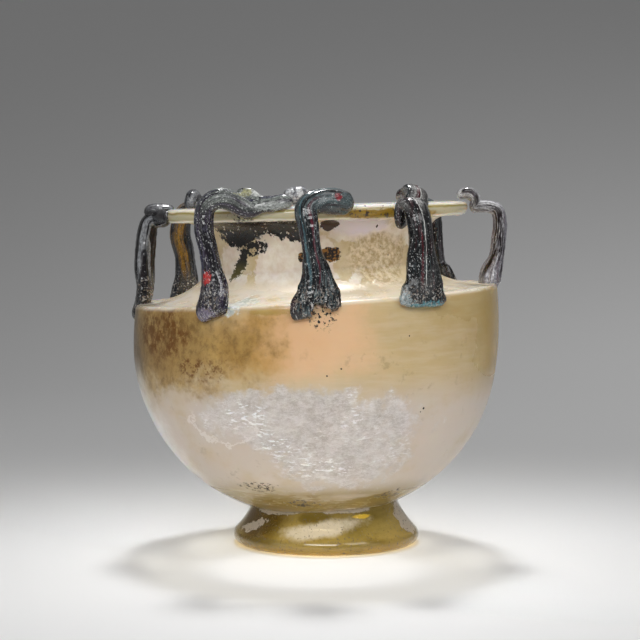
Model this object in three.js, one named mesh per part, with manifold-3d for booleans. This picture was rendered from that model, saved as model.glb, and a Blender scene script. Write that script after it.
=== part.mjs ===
// A small ancient jar of blown glass with eight handles, all sizes in millimetres, +Z up.
// The jar is made of ten separate gathers of glass: the blown vessel (bowl, shoulder, neck and rolled rim),
// the foot that was pressed on under it, and eight handles, each one a hot trail that was set on the edge
// of the shoulder as a pad, drawn up, bent in to the rim and folded over itself there.
// The origin is on the standing plane, under the middle of the whole jar with its handles.
import * as THREE from "three";
import { mergeVertices } from "three/addons/utils/BufferGeometryUtils.js";
import Module from "manifold-3d";

const wasm = await Module();
wasm.setup();

const { lerp, smoothstep, degToRad } = THREE.MathUtils;

// Where the two round pieces stand. The foot was set on a little to the right of the vessel's axis.
const VESSEL_AXIS_X = -0.5;
const FOOT_AXIS_X = 2.1;

// Bowl: how high its bottom stands, its depth up to its widest girth, the fullness of its curve (2 is an
// ellipse) and its glass.
const BOWL_BOTTOM = 7.6;
const BOWL_DEPTH = 49.4;
const BELLY_RADIUS = 50;
const BOWL_FULLNESS = 2.1;
const WALL = 1.8;
const FLOOR = 2.6;

// Shoulder: how far its turned edge, which carries the handles, is above the belly and in from it, and the
// hollow sweep from there in and up to the foot of the neck.
const SHOULDER_RISE = 11.7;
const SHOULDER_TUCK = 0.5;
const SHOULDER_EDGE_ROUND = 1.3;
const SWEEP_RISE = 7.3;
const SWEEP_REACH = 4.2;

// Neck, from the shoulder's edge up to the rim's underside, how much wider it is at its top and how deep the
// flare under the rim is.
const NECK_RADIUS = 30;
const NECK_RISE = 20.4;
const NECK_WIDENING = 0.8;
const FLARE_DEPTH = 4.6;

// The rolled rim, and how far below its top the mouth's funnel bends into the throat.
const RIM_RADIUS = 41.4;
const RIM_THICKNESS = 3.8;
const FUNNEL_DEPTH = 0.4;

// Foot: a splayed ring, solid but for the hollow under it, whose waist touches the bowl.
const FOOT_RADIUS = 25.5;
const FOOT_EDGE_ROUND = 2.4;
const FOOT_WAIST_RADIUS = 20;
const FOOT_LAP = 2.4;
const FOOT_RING_WIDTH = 3.6;
const FOOT_HOLLOW_DEPTH = 5;
const FOOT_HOLLOW_RADIUS = 14;

// The hot jar sagged to the left: the shoulder's plane leans by this much and the rim's by less.
const SHOULDER_LEAN = degToRad(3.4);
const RIM_LEAN = degToRad(1.7);
const LEAN_START_HEIGHT = 30;

// The chipped arch in the front handle's pad: its width and height, how far its middle is under the
// shoulder's edge, how many degrees it is off the handle's middle, and a depth that goes right through.
const CHIP_WIDTH = 4.8;
const CHIP_HEIGHT = 7.2;
const CHIP_DROP = 3.4;
const CHIP_TURN = 1.4;
const CHIP_DEPTH = 12;

// Where the profiles' rounds begin and end, in degrees from level, and where the corners of their bends
// are, as shares of the way between the bends' two ends.
const STRAIGHT_UP = 90;
const STRAIGHT_DOWN = -90;
const SHOULDER_ROUND_FROM = 15;
const SHOULDER_ROUND_TO = 85;
const SKIRT_ROUND_TO = 40;
const FLANGE_SHARE = 0.7;
const SKIRT_SHARE_OUT = 0.4;
const SKIRT_SHARE_UP = 0.45;
const HOLLOW_SHARE_OUT = 0.7;

// Room left between two gathers where they meet, so that each stays its own solid.
const JOINT_GAP = 0.3;

// How finely the round shapes are cut into facets.
const TURN_SEGMENTS = 56;
const BOWL_STEPS = 12;
const BEND_STEPS = 5;
const TRAIL_SIDES = 10;
const TRAIL_STEPS_PER_PLACE = 3;
const CHIP_SIDES = 16;

const BELLY_HEIGHT = BOWL_BOTTOM + BOWL_DEPTH;
const SHOULDER_RADIUS = BELLY_RADIUS - SHOULDER_TUCK;
const SHOULDER_HEIGHT = BELLY_HEIGHT + SHOULDER_RISE;
const RIM_HEIGHT = SHOULDER_HEIGHT + NECK_RISE;
const RIM_TOP = RIM_HEIGHT + RIM_THICKNESS;
const FLARE_HEIGHT = RIM_HEIGHT - FLARE_DEPTH;

const point = (radius, height) => new THREE.Vector2(radius, height);

// A closed mesh's faces as a solid that can be cut and joined.
function solidOf(geometry) {
  const bare = new THREE.BufferGeometry();
  bare.setAttribute("position", geometry.getAttribute("position"));
  bare.setIndex(geometry.getIndex());
  const merged = mergeVertices(bare, 1e-4);
  const vertProperties = new Float32Array(merged.getAttribute("position").array);
  const triVerts = new Uint32Array(merged.getIndex().array);
  return new wasm.Manifold(new wasm.Mesh({ numProp: 3, vertProperties, triVerts }));
}

// The largest body of a solid, as a geometry.
function geometryOf(solid) {
  const largest = solid.decompose().reduce((a, b) => (b.volume() > a.volume() ? b : a));
  const mesh = largest.getMesh();
  const geometry = new THREE.BufferGeometry();
  geometry.setAttribute("position", new THREE.BufferAttribute(mesh.vertProperties, 3));
  geometry.setIndex(new THREE.BufferAttribute(mesh.triVerts, 1));
  return geometry;
}

// A round piece from its profile, stood up along +Z.
function turned(profile) {
  return new THREE.LatheGeometry(profile, TURN_SEGMENTS).rotateX(Math.PI / 2);
}

// Points of a bend from one place to another that leaves and arrives towards the corner.
function bend(from, corner, to) {
  return new THREE.QuadraticBezierCurve(from, corner, to).getPoints(BEND_STEPS);
}

// Points of a round of the given radius, between two angles in degrees.
function round(centre, radius, fromAngle, toAngle) {
  const points = [];
  for (let i = 0; i <= BEND_STEPS; i++) {
    const angle = degToRad(lerp(fromAngle, toAngle, i / BEND_STEPS));
    points.push(point(centre.x + radius * Math.cos(angle), centre.y + radius * Math.sin(angle)));
  }
  return points;
}

// How far the sagged glass leans at a height, as a slope.
function leanAt(height) {
  const shoulderSlope = Math.tan(SHOULDER_LEAN);
  if (height < SHOULDER_HEIGHT) {
    return shoulderSlope * smoothstep(height, LEAN_START_HEIGHT, SHOULDER_HEIGHT);
  }
  const share = Math.min(1, (height - SHOULDER_HEIGHT) / NECK_RISE);
  return lerp(shoulderSlope, Math.tan(RIM_LEAN), share);
}

// Sags a geometry that was made straight about the vessel's axis.
function sagged(geometry) {
  const position = geometry.getAttribute("position");
  for (let i = 0; i < position.count; i++) {
    const height = position.getZ(i);
    position.setZ(i, height + position.getX(i) * leanAt(height));
  }
  return geometry;
}

// The bowl's profile from the middle of its bottom up to just under its belly.
function bowlProfile(inset, floorInset) {
  const girth = BELLY_RADIUS - inset;
  const depth = BOWL_DEPTH - floorInset;
  const points = [];
  for (let i = 0; i < BOWL_STEPS; i++) {
    const angle = ((i / BOWL_STEPS) * Math.PI) / 2;
    const radius = girth * Math.sin(angle) ** (2 / BOWL_FULLNESS);
    points.push(point(radius, BELLY_HEIGHT - depth * Math.cos(angle) ** (2 / BOWL_FULLNESS)));
  }
  return points;
}

// The height of the bowl's outside at a radius.
function bowlHeightAt(radius) {
  const share = 1 - (radius / BELLY_RADIUS) ** BOWL_FULLNESS;
  return BELLY_HEIGHT - BOWL_DEPTH * share ** (1 / BOWL_FULLNESS);
}

// The vessel's wall from the middle of its bottom up to the top of its neck, moved in by the inset.
function wallProfile(inset, floorInset) {
  const girth = BELLY_RADIUS - inset;
  const edgeRound = Math.max(SHOULDER_EDGE_ROUND / 3, SHOULDER_EDGE_ROUND - inset / 2);
  const edge = point(SHOULDER_RADIUS - inset - edgeRound, SHOULDER_HEIGHT - inset - edgeRound);
  const belly = point(girth, BELLY_HEIGHT);
  const upright = point(girth, (BELLY_HEIGHT + edge.y) / 2);
  const neckFoot = point(NECK_RADIUS - inset, SHOULDER_HEIGHT + SWEEP_RISE);
  const sweepStart = point(edge.x - edgeRound, edge.y + edgeRound);
  const sweepCorner = point(neckFoot.x + SWEEP_REACH, sweepStart.y + SHOULDER_EDGE_ROUND / 2);
  return [
    ...bowlProfile(inset, floorInset),
    ...bend(belly, upright, point(edge.x + edgeRound, edge.y)),
    ...round(edge, edgeRound, SHOULDER_ROUND_FROM, SHOULDER_ROUND_TO),
    ...bend(sweepStart, sweepCorner, neckFoot),
    point(neckFoot.x + NECK_WIDENING, FLARE_HEIGHT),
  ];
}

// The flare under the rim and the rolled lip, from the top of the neck round to the lip's top.
function lipProfile(inset) {
  const lipRadius = RIM_THICKNESS / 2;
  const lipCentre = point(RIM_RADIUS - lipRadius, RIM_HEIGHT + lipRadius);
  const neckTop = point(NECK_RADIUS + NECK_WIDENING - inset, FLARE_HEIGHT);
  const flareCorner = point(neckTop.x + NECK_WIDENING, RIM_HEIGHT + inset);
  const flangeStart = point(lerp(neckTop.x, lipCentre.x, FLANGE_SHARE), RIM_HEIGHT + inset);
  const flare = bend(neckTop, flareCorner, flangeStart).slice(1);
  return [...flare, ...round(lipCentre, lipRadius - inset, STRAIGHT_DOWN, STRAIGHT_UP)];
}

// The mouth's funnel, from the lip's top in and down to the throat.
function mouthProfile() {
  const lipTop = point(RIM_RADIUS - RIM_THICKNESS / 2, RIM_TOP);
  const throat = point(NECK_RADIUS + NECK_WIDENING - WALL, FLARE_HEIGHT);
  const corner = point(throat.x + NECK_WIDENING, RIM_TOP - FUNNEL_DEPTH);
  return bend(lipTop, corner, throat).slice(1, -1);
}

// The blown vessel: up its outside, over the lip and down its inside, so that its mouth is open.
function vesselGeometry() {
  const inside = wallProfile(WALL, FLOOR).reverse();
  return turned([...wallProfile(0, 0), ...lipProfile(0), ...mouthProfile(), ...inside]);
}

// The space that the vessel takes up with its mouth filled, and the joint gap round it.
function vesselRoom() {
  const top = point(0, RIM_TOP + JOINT_GAP);
  return solidOf(turned([...wallProfile(-JOINT_GAP, -JOINT_GAP), ...lipProfile(-JOINT_GAP), top]));
}

// The foot, about its own axis. Its top is cut to the shape of the bowl that sits in it.
function footGeometry(room) {
  const edge = point(FOOT_RADIUS - FOOT_EDGE_ROUND, FOOT_EDGE_ROUND);
  const skirt = round(edge, FOOT_EDGE_ROUND, STRAIGHT_DOWN, SKIRT_ROUND_TO);
  const skirtTop = skirt[skirt.length - 1];
  const waist = point(FOOT_WAIST_RADIUS, bowlHeightAt(FOOT_WAIST_RADIUS));
  const skirtCorner = point(
    lerp(waist.x, skirtTop.x, SKIRT_SHARE_OUT),
    lerp(skirtTop.y, waist.y, SKIRT_SHARE_UP),
  );
  const ringInside = point(edge.x - FOOT_RING_WIDTH, 0);
  const ceiling = point(FOOT_HOLLOW_RADIUS, FOOT_HOLLOW_DEPTH);
  const hollowCorner = point(lerp(ceiling.x, ringInside.x, HOLLOW_SHARE_OUT), FOOT_HOLLOW_DEPTH);
  const lapTop = waist.y + FOOT_LAP;
  const profile = [
    point(0, FOOT_HOLLOW_DEPTH),
    ...bend(ceiling, hollowCorner, ringInside),
    ...skirt,
    ...bend(skirtTop, skirtCorner, waist).slice(1),
    point(waist.x - JOINT_GAP, lapTop),
    point(0, lapTop),
  ];
  const saggedRoom = sagged(geometryOf(room)).translate(VESSEL_AXIS_X - FOOT_AXIS_X, 0, 0);
  return geometryOf(solidOf(turned(profile)).subtract(solidOf(saggedRoom)));
}

// Places on a handle's trail. Turn is in degrees round the jar from the handle's own place, and out and up
// are measured from the shoulder's edge, from the rim's edge at its underside or from that at its top. Wide
// and thick are the trail's own size there. A stem's rise runs from 0 at the shoulder to 1 at the rim.
function atShoulder(turn, out, up, wide, thick) {
  return { turn, radius: SHOULDER_RADIUS + out, height: SHOULDER_HEIGHT + up, wide, thick };
}

function onStem(rise, turn, out, wide, thick) {
  const height = lerp(SHOULDER_HEIGHT, RIM_HEIGHT, rise);
  return { turn, radius: SHOULDER_RADIUS + out, height, wide, thick };
}

function atRim(turn, out, up, wide, thick) {
  return { turn, radius: RIM_RADIUS + out, height: RIM_HEIGHT + up, wide, thick };
}

function overRim(turn, out, up, wide, thick) {
  return { turn, radius: RIM_RADIUS + out, height: RIM_TOP + up, wide, thick };
}

// A trail of glass: an oval rod whose width lies along the jar's side, swept through its places.
function trailSolid(azimuth, places) {
  const centres = places.map(({ turn, radius, height }) => {
    const angle = degToRad(azimuth + turn);
    return new THREE.Vector3(radius * Math.cos(angle), radius * Math.sin(angle), height);
  });
  const route = new THREE.CatmullRomCurve3(centres);
  const girths = new THREE.CatmullRomCurve3(places.map((p) => new THREE.Vector3(p.wide, p.thick, 0)));
  const steps = (places.length - 1) * TRAIL_STEPS_PER_PLACE;
  const startAngle = degToRad(azimuth + places[0].turn);
  const outward = new THREE.Vector3(Math.cos(startAngle), Math.sin(startAngle), 0);
  const vertices = [];
  for (let i = 0; i <= steps; i++) {
    const centre = route.getPoint(i / steps);
    const along = route.getTangent(i / steps);
    const girth = girths.getPoint(i / steps);
    outward.addScaledVector(along, -outward.dot(along)).normalize();
    const across = new THREE.Vector3().crossVectors(along, outward);
    for (let side = 0; side < TRAIL_SIDES; side++) {
      const angle = (side / TRAIL_SIDES) * 2 * Math.PI;
      const corner = centre.clone();
      corner.addScaledVector(across, (girth.x / 2) * Math.cos(angle));
      corner.addScaledVector(outward, (girth.y / 2) * Math.sin(angle));
      vertices.push(...corner.toArray());
    }
  }
  const faces = [];
  for (let i = 0; i < steps; i++) {
    for (let side = 0; side < TRAIL_SIDES; side++) {
      const here = i * TRAIL_SIDES + side;
      const beside = i * TRAIL_SIDES + ((side + 1) % TRAIL_SIDES);
      faces.push(here, beside + TRAIL_SIDES, beside, here, here + TRAIL_SIDES, beside + TRAIL_SIDES);
    }
  }
  const last = steps * TRAIL_SIDES;
  for (let side = 1; side < TRAIL_SIDES - 1; side++) {
    faces.push(0, side, side + 1);
    faces.push(last, last + side + 1, last + side);
  }
  const geometry = new THREE.BufferGeometry();
  geometry.setAttribute("position", new THREE.Float32BufferAttribute(vertices, 3));
  geometry.setIndex(faces);
  return solidOf(geometry);
}

// The chipped arch, as the upright oval hole that it leaves.
function padChip(azimuth) {
  const chip = new THREE.CylinderGeometry(1, 1, CHIP_DEPTH, CHIP_SIDES);
  chip.scale(CHIP_WIDTH / 2, 1, CHIP_HEIGHT / 2).rotateZ(degToRad(azimuth - 90));
  const angle = degToRad(azimuth + CHIP_TURN);
  chip.translate(SHOULDER_RADIUS * Math.cos(angle), SHOULDER_RADIUS * Math.sin(angle), 0);
  return solidOf(chip.translate(0, 0, SHOULDER_HEIGHT - CHIP_DROP));
}

// The eight handles, named as seen from the front, each with its place round the jar and its trails:
// the first trail is the pad, stem and arch, and the others are the folds pressed on at the rim.
const handles = [
  {
    name: "handle_front",
    azimuth: 270,
    chipped: true,
    trails: [
      [
        atShoulder(0.3, 0.6, -3.8, 8.4, 1.6),
        atShoulder(0.3, 1.2, -2.2, 12, 3.2),
        atShoulder(0.3, 0.6, 1, 12.6, 4.4),
        atShoulder(0.2, 0.2, 4, 8.6, 4.6),
        onStem(0.4, 0, 0, 6.2, 4.8),
        onStem(0.65, -1.1, 0.3, 4.8, 5),
        onStem(0.92, -2, 0.4, 5.4, 5.2),
        atRim(-2.8, 7.4, 3, 6, 5.4),
        overRim(0.6, 5, 1, 6.4, 5.8),
        overRim(5.5, 3.4, 0.9, 6.8, 6.8),
        overRim(9.4, 2.4, 0.3, 5.8, 6.4),
        overRim(12.6, 1.8, 0, 3, 3.4),
      ],
    ],
  },
  {
    name: "handle_front_right",
    azimuth: 302.7,
    trails: [
      [
        atShoulder(-0.2, 0.6, -3, 11, 1.6),
        atShoulder(-0.1, 1.2, -1.5, 14.6, 3.4),
        atShoulder(0, 0.6, 1.4, 13, 4.4),
        atShoulder(0.4, 0.1, 4.2, 10.4, 4.6),
        onStem(0.5, 0, 0, 8, 4.8),
        onStem(0.75, -0.2, 0.2, 6.8, 4.6),
        onStem(0.98, -0.6, -0.2, 6.8, 4.2),
        atRim(-0.4, 5, 3.2, 7, 3.8),
        atRim(0, 0.4, 2.4, 7, 3.2),
      ],
      [
        atRim(0.4, 3, 2.4, 6, 3.6),
        overRim(1.8, 3.6, 0.2, 7.4, 4.6),
        overRim(3.4, 1.4, 2.1, 7.4, 4.8),
        overRim(3, -1.4, 1.8, 6, 4),
        overRim(0.6, -3.6, 1, 3.6, 2.4),
      ],
      [
        overRim(-1.6, 2.8, 0.2, 2.8, 2.6),
        overRim(-3.2, 2.8, -0.8, 3.2, 2.8),
        atRim(-3.6, 2.9, 1, 3.4, 2.8),
        atRim(-2.6, 2.3, -1, 3.6, 2.8),
        atRim(-0.8, 1.2, -2, 2.6, 2.4),
      ],
    ],
  },
  {
    name: "handle_right",
    azimuth: 0,
    trails: [
      [
        atShoulder(0, -0.5, -2.8, 5, 1.4),
        atShoulder(0, -1.8, -0.2, 9, 6),
        atShoulder(0, -1.3, 3.4, 7.2, 6),
        onStem(0.4, 0, 0, 5.8, 4.2),
        onStem(0.64, 0, 0.6, 5.4, 4.2),
        onStem(0.86, 0, 0.9, 5.4, 3.8),
        atRim(0, 8, 1, 5.4, 3.6),
        atRim(0, 5, 2, 5.4, 3.4),
        atRim(0, 0.6, 1.8, 5.4, 3.4),
      ],
      [
        atRim(0, 1.4, 1.2, 4.6, 2.6),
        overRim(0, 2.2, 0, 5.6, 3),
        overRim(0.4, 1, 1.7, 6, 3),
        overRim(0.6, -1, 2, 5.8, 2.8),
        overRim(0.4, -2.8, 1.1, 4, 2.2),
      ],
    ],
  },
  {
    name: "handle_back_right",
    azimuth: 44,
    trails: [
      [
        atShoulder(-0.6, 0.6, -3.6, 8, 1.6),
        atShoulder(-0.6, 1, -1.6, 11.4, 3.2),
        atShoulder(-0.6, -0.4, 1.6, 11, 4.4),
        atShoulder(0.4, -1.2, 5, 7.6, 4.4),
        onStem(0.55, 0.8, -1.6, 6.2, 4.4),
        onStem(0.85, 1, -1.4, 6, 4.4),
        atRim(1.6, 5.8, 1.6, 6.2, 4),
        overRim(1.8, 3, -0.8, 6.6, 3.4),
        overRim(2, -0.4, 0.1, 6.4, 2.4),
        overRim(2.2, -3, 0.1, 3.6, 1.8),
      ],
    ],
  },
  {
    name: "handle_back",
    azimuth: 96,
    trails: [
      [
        atShoulder(0, 0.6, -4.2, 8, 1.6),
        atShoulder(0, 1.2, -2.2, 12, 3.2),
        atShoulder(0, 0.4, 1.4, 11.6, 4.4),
        atShoulder(0, 0, 4.8, 8.4, 4.6),
        onStem(0.5, 0.2, 0, 6.4, 4.8),
        onStem(0.85, 0.8, 0, 6, 4.8),
        atRim(1.4, 6.2, 3.6, 6.6, 4.6),
        overRim(1.8, 2.6, 2.2, 8, 5),
        overRim(2.2, -1, 2.8, 8.4, 4.8),
        overRim(2.2, -3.6, 1.6, 4.6, 2.8),
      ],
    ],
  },
  {
    name: "handle_back_left",
    azimuth: 140.2,
    trails: [
      [
        atShoulder(0, 0.6, -3.8, 7.4, 1.6),
        atShoulder(0, 1, -1.8, 10.4, 3.2),
        atShoulder(0, 0.2, 1.6, 9.8, 4.4),
        atShoulder(0, -0.2, 5, 8, 4.6),
        onStem(0.55, 0.4, 0, 6.8, 4.6),
        onStem(0.85, 2.4, 0, 6.8, 4.6),
        atRim(3, 6, 2.6, 6.6, 4.4),
        overRim(4, 2.4, 0.6, 6.6, 4.2),
        overRim(4.6, -1.6, 1, 6.4, 3.6),
      ],
      [
        overRim(0, 2, 0.8, 3.4, 2.8),
        overRim(4, 1.6, 2.2, 6, 4.2),
        overRim(8.4, 0.2, 1.8, 6.2, 4.2),
        overRim(12, -0.8, 0.2, 3.6, 2.6),
      ],
    ],
  },
  {
    name: "handle_left",
    azimuth: 180,
    trails: [
      [
        atShoulder(0, -0.1, -4.6, 5, 1.4),
        atShoulder(0, -0.2, -2.4, 8, 2.6),
        atShoulder(0, -1.9, 0.8, 9, 4.2),
        atShoulder(0, -2.5, 4.4, 7.6, 4.6),
        onStem(0.42, 0, -2.4, 6.6, 5.4),
        onStem(0.68, 0, -2.5, 6.2, 5.4),
        atRim(0, 5.1, -2, 6, 5.2),
        atRim(0, 4.2, 0.6, 6.2, 4.6),
        atRim(0, 1.6, 1.2, 6.2, 4.4),
        atRim(0, -1.6, 0.4, 5, 3.6),
      ],
      [
        overRim(0, -2.4, 0, 4.2, 2.4),
        overRim(0, 0.6, -0.1, 5.6, 3.2),
        overRim(0, 3.4, -0.3, 5.8, 3.6),
        overRim(0, 5.8, -0.8, 4.2, 2.6),
      ],
      [
        atRim(0, 2, 1.6, 3.6, 3.6),
        atRim(5, 1.4, 1.8, 4.8, 3),
        atRim(10, 0.8, 1.8, 4.2, 2.4),
        atRim(16, 0.1, 1.6, 3, 1.6),
      ],
    ],
  },
  {
    name: "handle_front_left",
    azimuth: 237.4,
    trails: [
      [
        atShoulder(-2, 0.6, -2.2, 6, 1.6),
        atShoulder(0.9, 1.2, -0.6, 9, 3.4),
        atShoulder(1.9, 0.8, 1.6, 9.2, 4.6),
        atShoulder(1.5, 0.2, 5, 7.4, 4.8),
        onStem(0.45, 0.4, 0, 5.4, 4.8),
        onStem(0.7, -0.5, 0.4, 4.8, 4.8),
        onStem(0.94, -1.8, 0.8, 4.8, 4.8),
        atRim(-1.6, 8.3, 4.2, 5, 4.4),
        overRim(1.4, 7.2, 2.5, 5.2, 4.2),
        overRim(4.2, 5, 2.1, 5.2, 4.2),
        overRim(6.8, 3, 0.6, 5.2, 4.2),
        overRim(9.6, 1.6, -0.3, 4.8, 3.8),
        overRim(13, 0.6, 0.6, 4.4, 3),
        overRim(17.8, 0.2, 0.8, 4.2, 2.8),
        overRim(21.4, -0.2, 1.2, 4, 3.2),
        overRim(24.4, -0.8, 0.8, 2, 1.8),
      ],
      [
        overRim(10, 1.2, -0.2, 2.6, 2.2),
        overRim(9.6, 0.6, 2, 3.2, 2.4),
        overRim(7.8, 0.4, 3.5, 3.4, 1.8),
        overRim(5.6, 0.8, 3.4, 2.4, 1.4),
      ],
    ],
  },
];

// A handle: its trails joined, cut to the shape of the vessel that they are pressed on.
function handleGeometry({ azimuth, trails, chipped }, room) {
  let solid = trails.map((places) => trailSolid(azimuth, places)).reduce((a, b) => a.add(b));
  if (chipped) solid = solid.subtract(padChip(azimuth));
  return geometryOf(solid.subtract(room));
}

const weatheredGlass = new THREE.MeshStandardMaterial({ color: "#cdbb9a", roughness: 0.45, metalness: 0 });
const amberGlass = new THREE.MeshStandardMaterial({ color: "#a9965c", roughness: 0.3, metalness: 0 });
const darkGlass = new THREE.MeshStandardMaterial({ color: "#2d2a33", roughness: 0.3, metalness: 0 });

function piece(name, geometry, material) {
  geometry.computeVertexNormals();
  const mesh = new THREE.Mesh(geometry, material);
  mesh.name = name;
  return mesh;
}

const room = vesselRoom();

const blown = new THREE.Group();
blown.position.x = VESSEL_AXIS_X;
blown.add(piece("vessel", sagged(vesselGeometry()), weatheredGlass));
for (const handle of handles) {
  blown.add(piece(handle.name, sagged(handleGeometry(handle, room)), darkGlass));
}

const foot = piece("foot", footGeometry(room), amberGlass);
foot.position.x = FOOT_AXIS_X;

const jar = new THREE.Group();
jar.add(blown, foot);

export default jar;
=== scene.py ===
# A small ancient jar of blown glass with eight trailed handles, as it stands on a pale studio floor.
# Sizes are given in millimetres and made in metres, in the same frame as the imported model:
# +Z up out of the mouth, -Y towards the front.
import math

import bpy
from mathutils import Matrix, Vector


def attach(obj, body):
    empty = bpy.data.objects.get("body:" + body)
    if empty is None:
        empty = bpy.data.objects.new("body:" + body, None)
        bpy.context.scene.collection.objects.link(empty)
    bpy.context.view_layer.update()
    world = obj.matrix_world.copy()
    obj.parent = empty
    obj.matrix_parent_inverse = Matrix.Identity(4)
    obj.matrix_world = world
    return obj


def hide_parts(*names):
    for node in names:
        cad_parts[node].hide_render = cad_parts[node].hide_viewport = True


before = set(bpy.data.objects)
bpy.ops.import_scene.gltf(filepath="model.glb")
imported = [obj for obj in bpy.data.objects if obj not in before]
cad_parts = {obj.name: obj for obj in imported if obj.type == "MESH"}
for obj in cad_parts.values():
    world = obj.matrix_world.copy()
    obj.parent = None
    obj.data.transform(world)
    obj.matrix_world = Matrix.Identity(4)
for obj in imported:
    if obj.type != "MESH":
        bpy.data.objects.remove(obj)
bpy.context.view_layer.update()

MM = 0.001

# The vessel's own sizes, in millimetres.
VESSEL_AXIS_X = -0.5
FOOT_AXIS_X = 2.1
BOWL_BOTTOM = 7.6
BOWL_DEPTH = 49.4
BELLY_RADIUS = 50
BOWL_FULLNESS = 2.1
WALL = 1.8
FLOOR = 2.6
SHOULDER_RISE = 11.7
SHOULDER_TUCK = 0.5
SHOULDER_EDGE_ROUND = 1.3
SWEEP_RISE = 7.3
SWEEP_REACH = 4.2
NECK_RADIUS = 30
NECK_RISE = 20.4
NECK_WIDENING = 0.8
FLARE_DEPTH = 4.6
RIM_RADIUS = 41.4
RIM_THICKNESS = 3.8
FUNNEL_DEPTH = 0.4
FOOT_RADIUS = 25.5
FOOT_EDGE_ROUND = 2.4
FOOT_WAIST_RADIUS = 20
FOOT_RING_WIDTH = 3.6
FOOT_HOLLOW_DEPTH = 5
FOOT_HOLLOW_RADIUS = 14

# The hot jar sagged to the left: the shoulder's plane leans by this much and the rim's by less.
SHOULDER_LEAN = math.radians(3.4)
RIM_LEAN = math.radians(1.7)
LEAN_START_HEIGHT = 30

# The chipped arch in the front handle's pad.
CHIP_WIDTH = 4.8
CHIP_HEIGHT = 7.2
CHIP_DROP = 3.4
CHIP_TURN = 1.4
CHIP_DEPTH = 12
# How ragged the break is: its waves round the edge, each with its count, its depth and its start.
CHIP_WAVES = ((3, 0.1, 1), (7, 0.09, 0), (11, 0.06, 2))

BELLY_HEIGHT = BOWL_BOTTOM + BOWL_DEPTH
SHOULDER_RADIUS = BELLY_RADIUS - SHOULDER_TUCK
SHOULDER_HEIGHT = BELLY_HEIGHT + SHOULDER_RISE
RIM_HEIGHT = SHOULDER_HEIGHT + NECK_RISE
RIM_TOP = RIM_HEIGHT + RIM_THICKNESS
FLARE_HEIGHT = RIM_HEIGHT - FLARE_DEPTH

# How far a handle's pad sinks into the vessel's skin, where the two were fused hot.
FUSED_DEPTH = 0.25

# How finely the shapes are cut.
TURN_SEGMENTS = 240
BOWL_STEPS = 44
BEND_STEPS = 12
TRAIL_STEP = 0.4
TRAIL_SIDES = 40
TRAIL_VOXEL = 0.24
FUSED_THRESHOLD = 0.02
WELD_DISTANCE = 0.005

# A trail's ribs run along it: their pattern is drawn out to this share lengthwise.
RIB_DRAW = 0.12

# How a trail ends: drawn in to a round tip over this share of its girth, and pressed flat over this length
# where it was first touched down, never thinner than these shares.
TIP_SHARE = 0.45
TIP_LEAST = 0.12
PRESSED_LENGTH = 1.2
PRESSED_LEAST = 0.3

# The foot's lip bends up by this much at its waist and steps in to its seat. The seat follows the bowl over
# these radii, and its rises sink it into the bowl.
WAIST_LIP = 1.4
SEAT_STEP = 0.6
SEAT_EDGE_RISE = 1.2
SEAT_RADII = (17, 14, 11, 8, 4, 0)
SEAT_RISE = 0.9


def colour(code):
    """An sRGB hex colour as the linear red, green, blue and alpha that a shader takes."""
    channels = [int(code[i : i + 2], 16) / 255 for i in (1, 3, 5)]
    linear = [c / 12.92 if c <= 0.04045 else ((c + 0.055) / 1.055) ** 2.4 for c in channels]
    return (*linear, 1.0)


def socket(sockets, key):
    """A node's socket by its place, its identifier or its name."""
    if isinstance(key, int):
        return sockets[key]
    for each in sockets:
        if each.identifier == key:
            return each
    return sockets[key]


def add(tree, kind, inputs=None, **settings):
    """Add a node to a tree, with its settings and with its inputs' values or links."""
    node = tree.nodes.new(kind)
    for name, value in settings.items():
        setattr(node, name, value)
    for key, value in (inputs or {}).items():
        if isinstance(value, bpy.types.NodeSocket):
            tree.links.new(value, socket(node.inputs, key))
        elif isinstance(value, bpy.types.Node):
            tree.links.new(value.outputs[0], socket(node.inputs, key))
        else:
            socket(node.inputs, key).default_value = value
    return node


def lerp(a, b, share):
    """The value at a share of the way from one to another."""
    return a + (b - a) * share


# Profiles of the turned pieces: lists of (radius, height) in millimetres.


def bend(start, corner, end, steps=BEND_STEPS):
    """A bend from one place to another that leaves and arrives towards the corner."""
    points = []
    for i in range(steps + 1):
        t = i / steps
        weights = ((1 - t) ** 2, 2 * t * (1 - t), t * t)
        points.append(tuple(sum(w * p[k] for w, p in zip(weights, (start, corner, end))) for k in (0, 1)))
    return points


def arc(centre, radius, first, last, steps=BEND_STEPS):
    """A round between two angles in degrees."""
    points = []
    for i in range(steps + 1):
        angle = math.radians(lerp(first, last, i / steps))
        points.append((centre[0] + radius * math.cos(angle), centre[1] + radius * math.sin(angle)))
    return points


def straight(start, end, steps=BEND_STEPS):
    """Evenly spaced places on a straight line, without its first."""
    return [tuple(lerp(start[k], end[k], i / steps) for k in (0, 1)) for i in range(1, steps + 1)]


def bowl_profile(inset, floor_inset):
    """The bowl from the middle of its bottom out and up to the belly, without the belly itself."""
    girth = BELLY_RADIUS - inset
    depth = BOWL_DEPTH - floor_inset
    points = []
    for i in range(BOWL_STEPS):
        angle = i / BOWL_STEPS * math.pi / 2
        radius = girth * math.sin(angle) ** (2 / BOWL_FULLNESS)
        points.append((radius, BELLY_HEIGHT - depth * math.cos(angle) ** (2 / BOWL_FULLNESS)))
    return points


def bowl_height_at(radius):
    """How high the bowl's outside stands at a radius."""
    share = 1 - (radius / BELLY_RADIUS) ** BOWL_FULLNESS
    return BELLY_HEIGHT - BOWL_DEPTH * share ** (1 / BOWL_FULLNESS)


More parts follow.
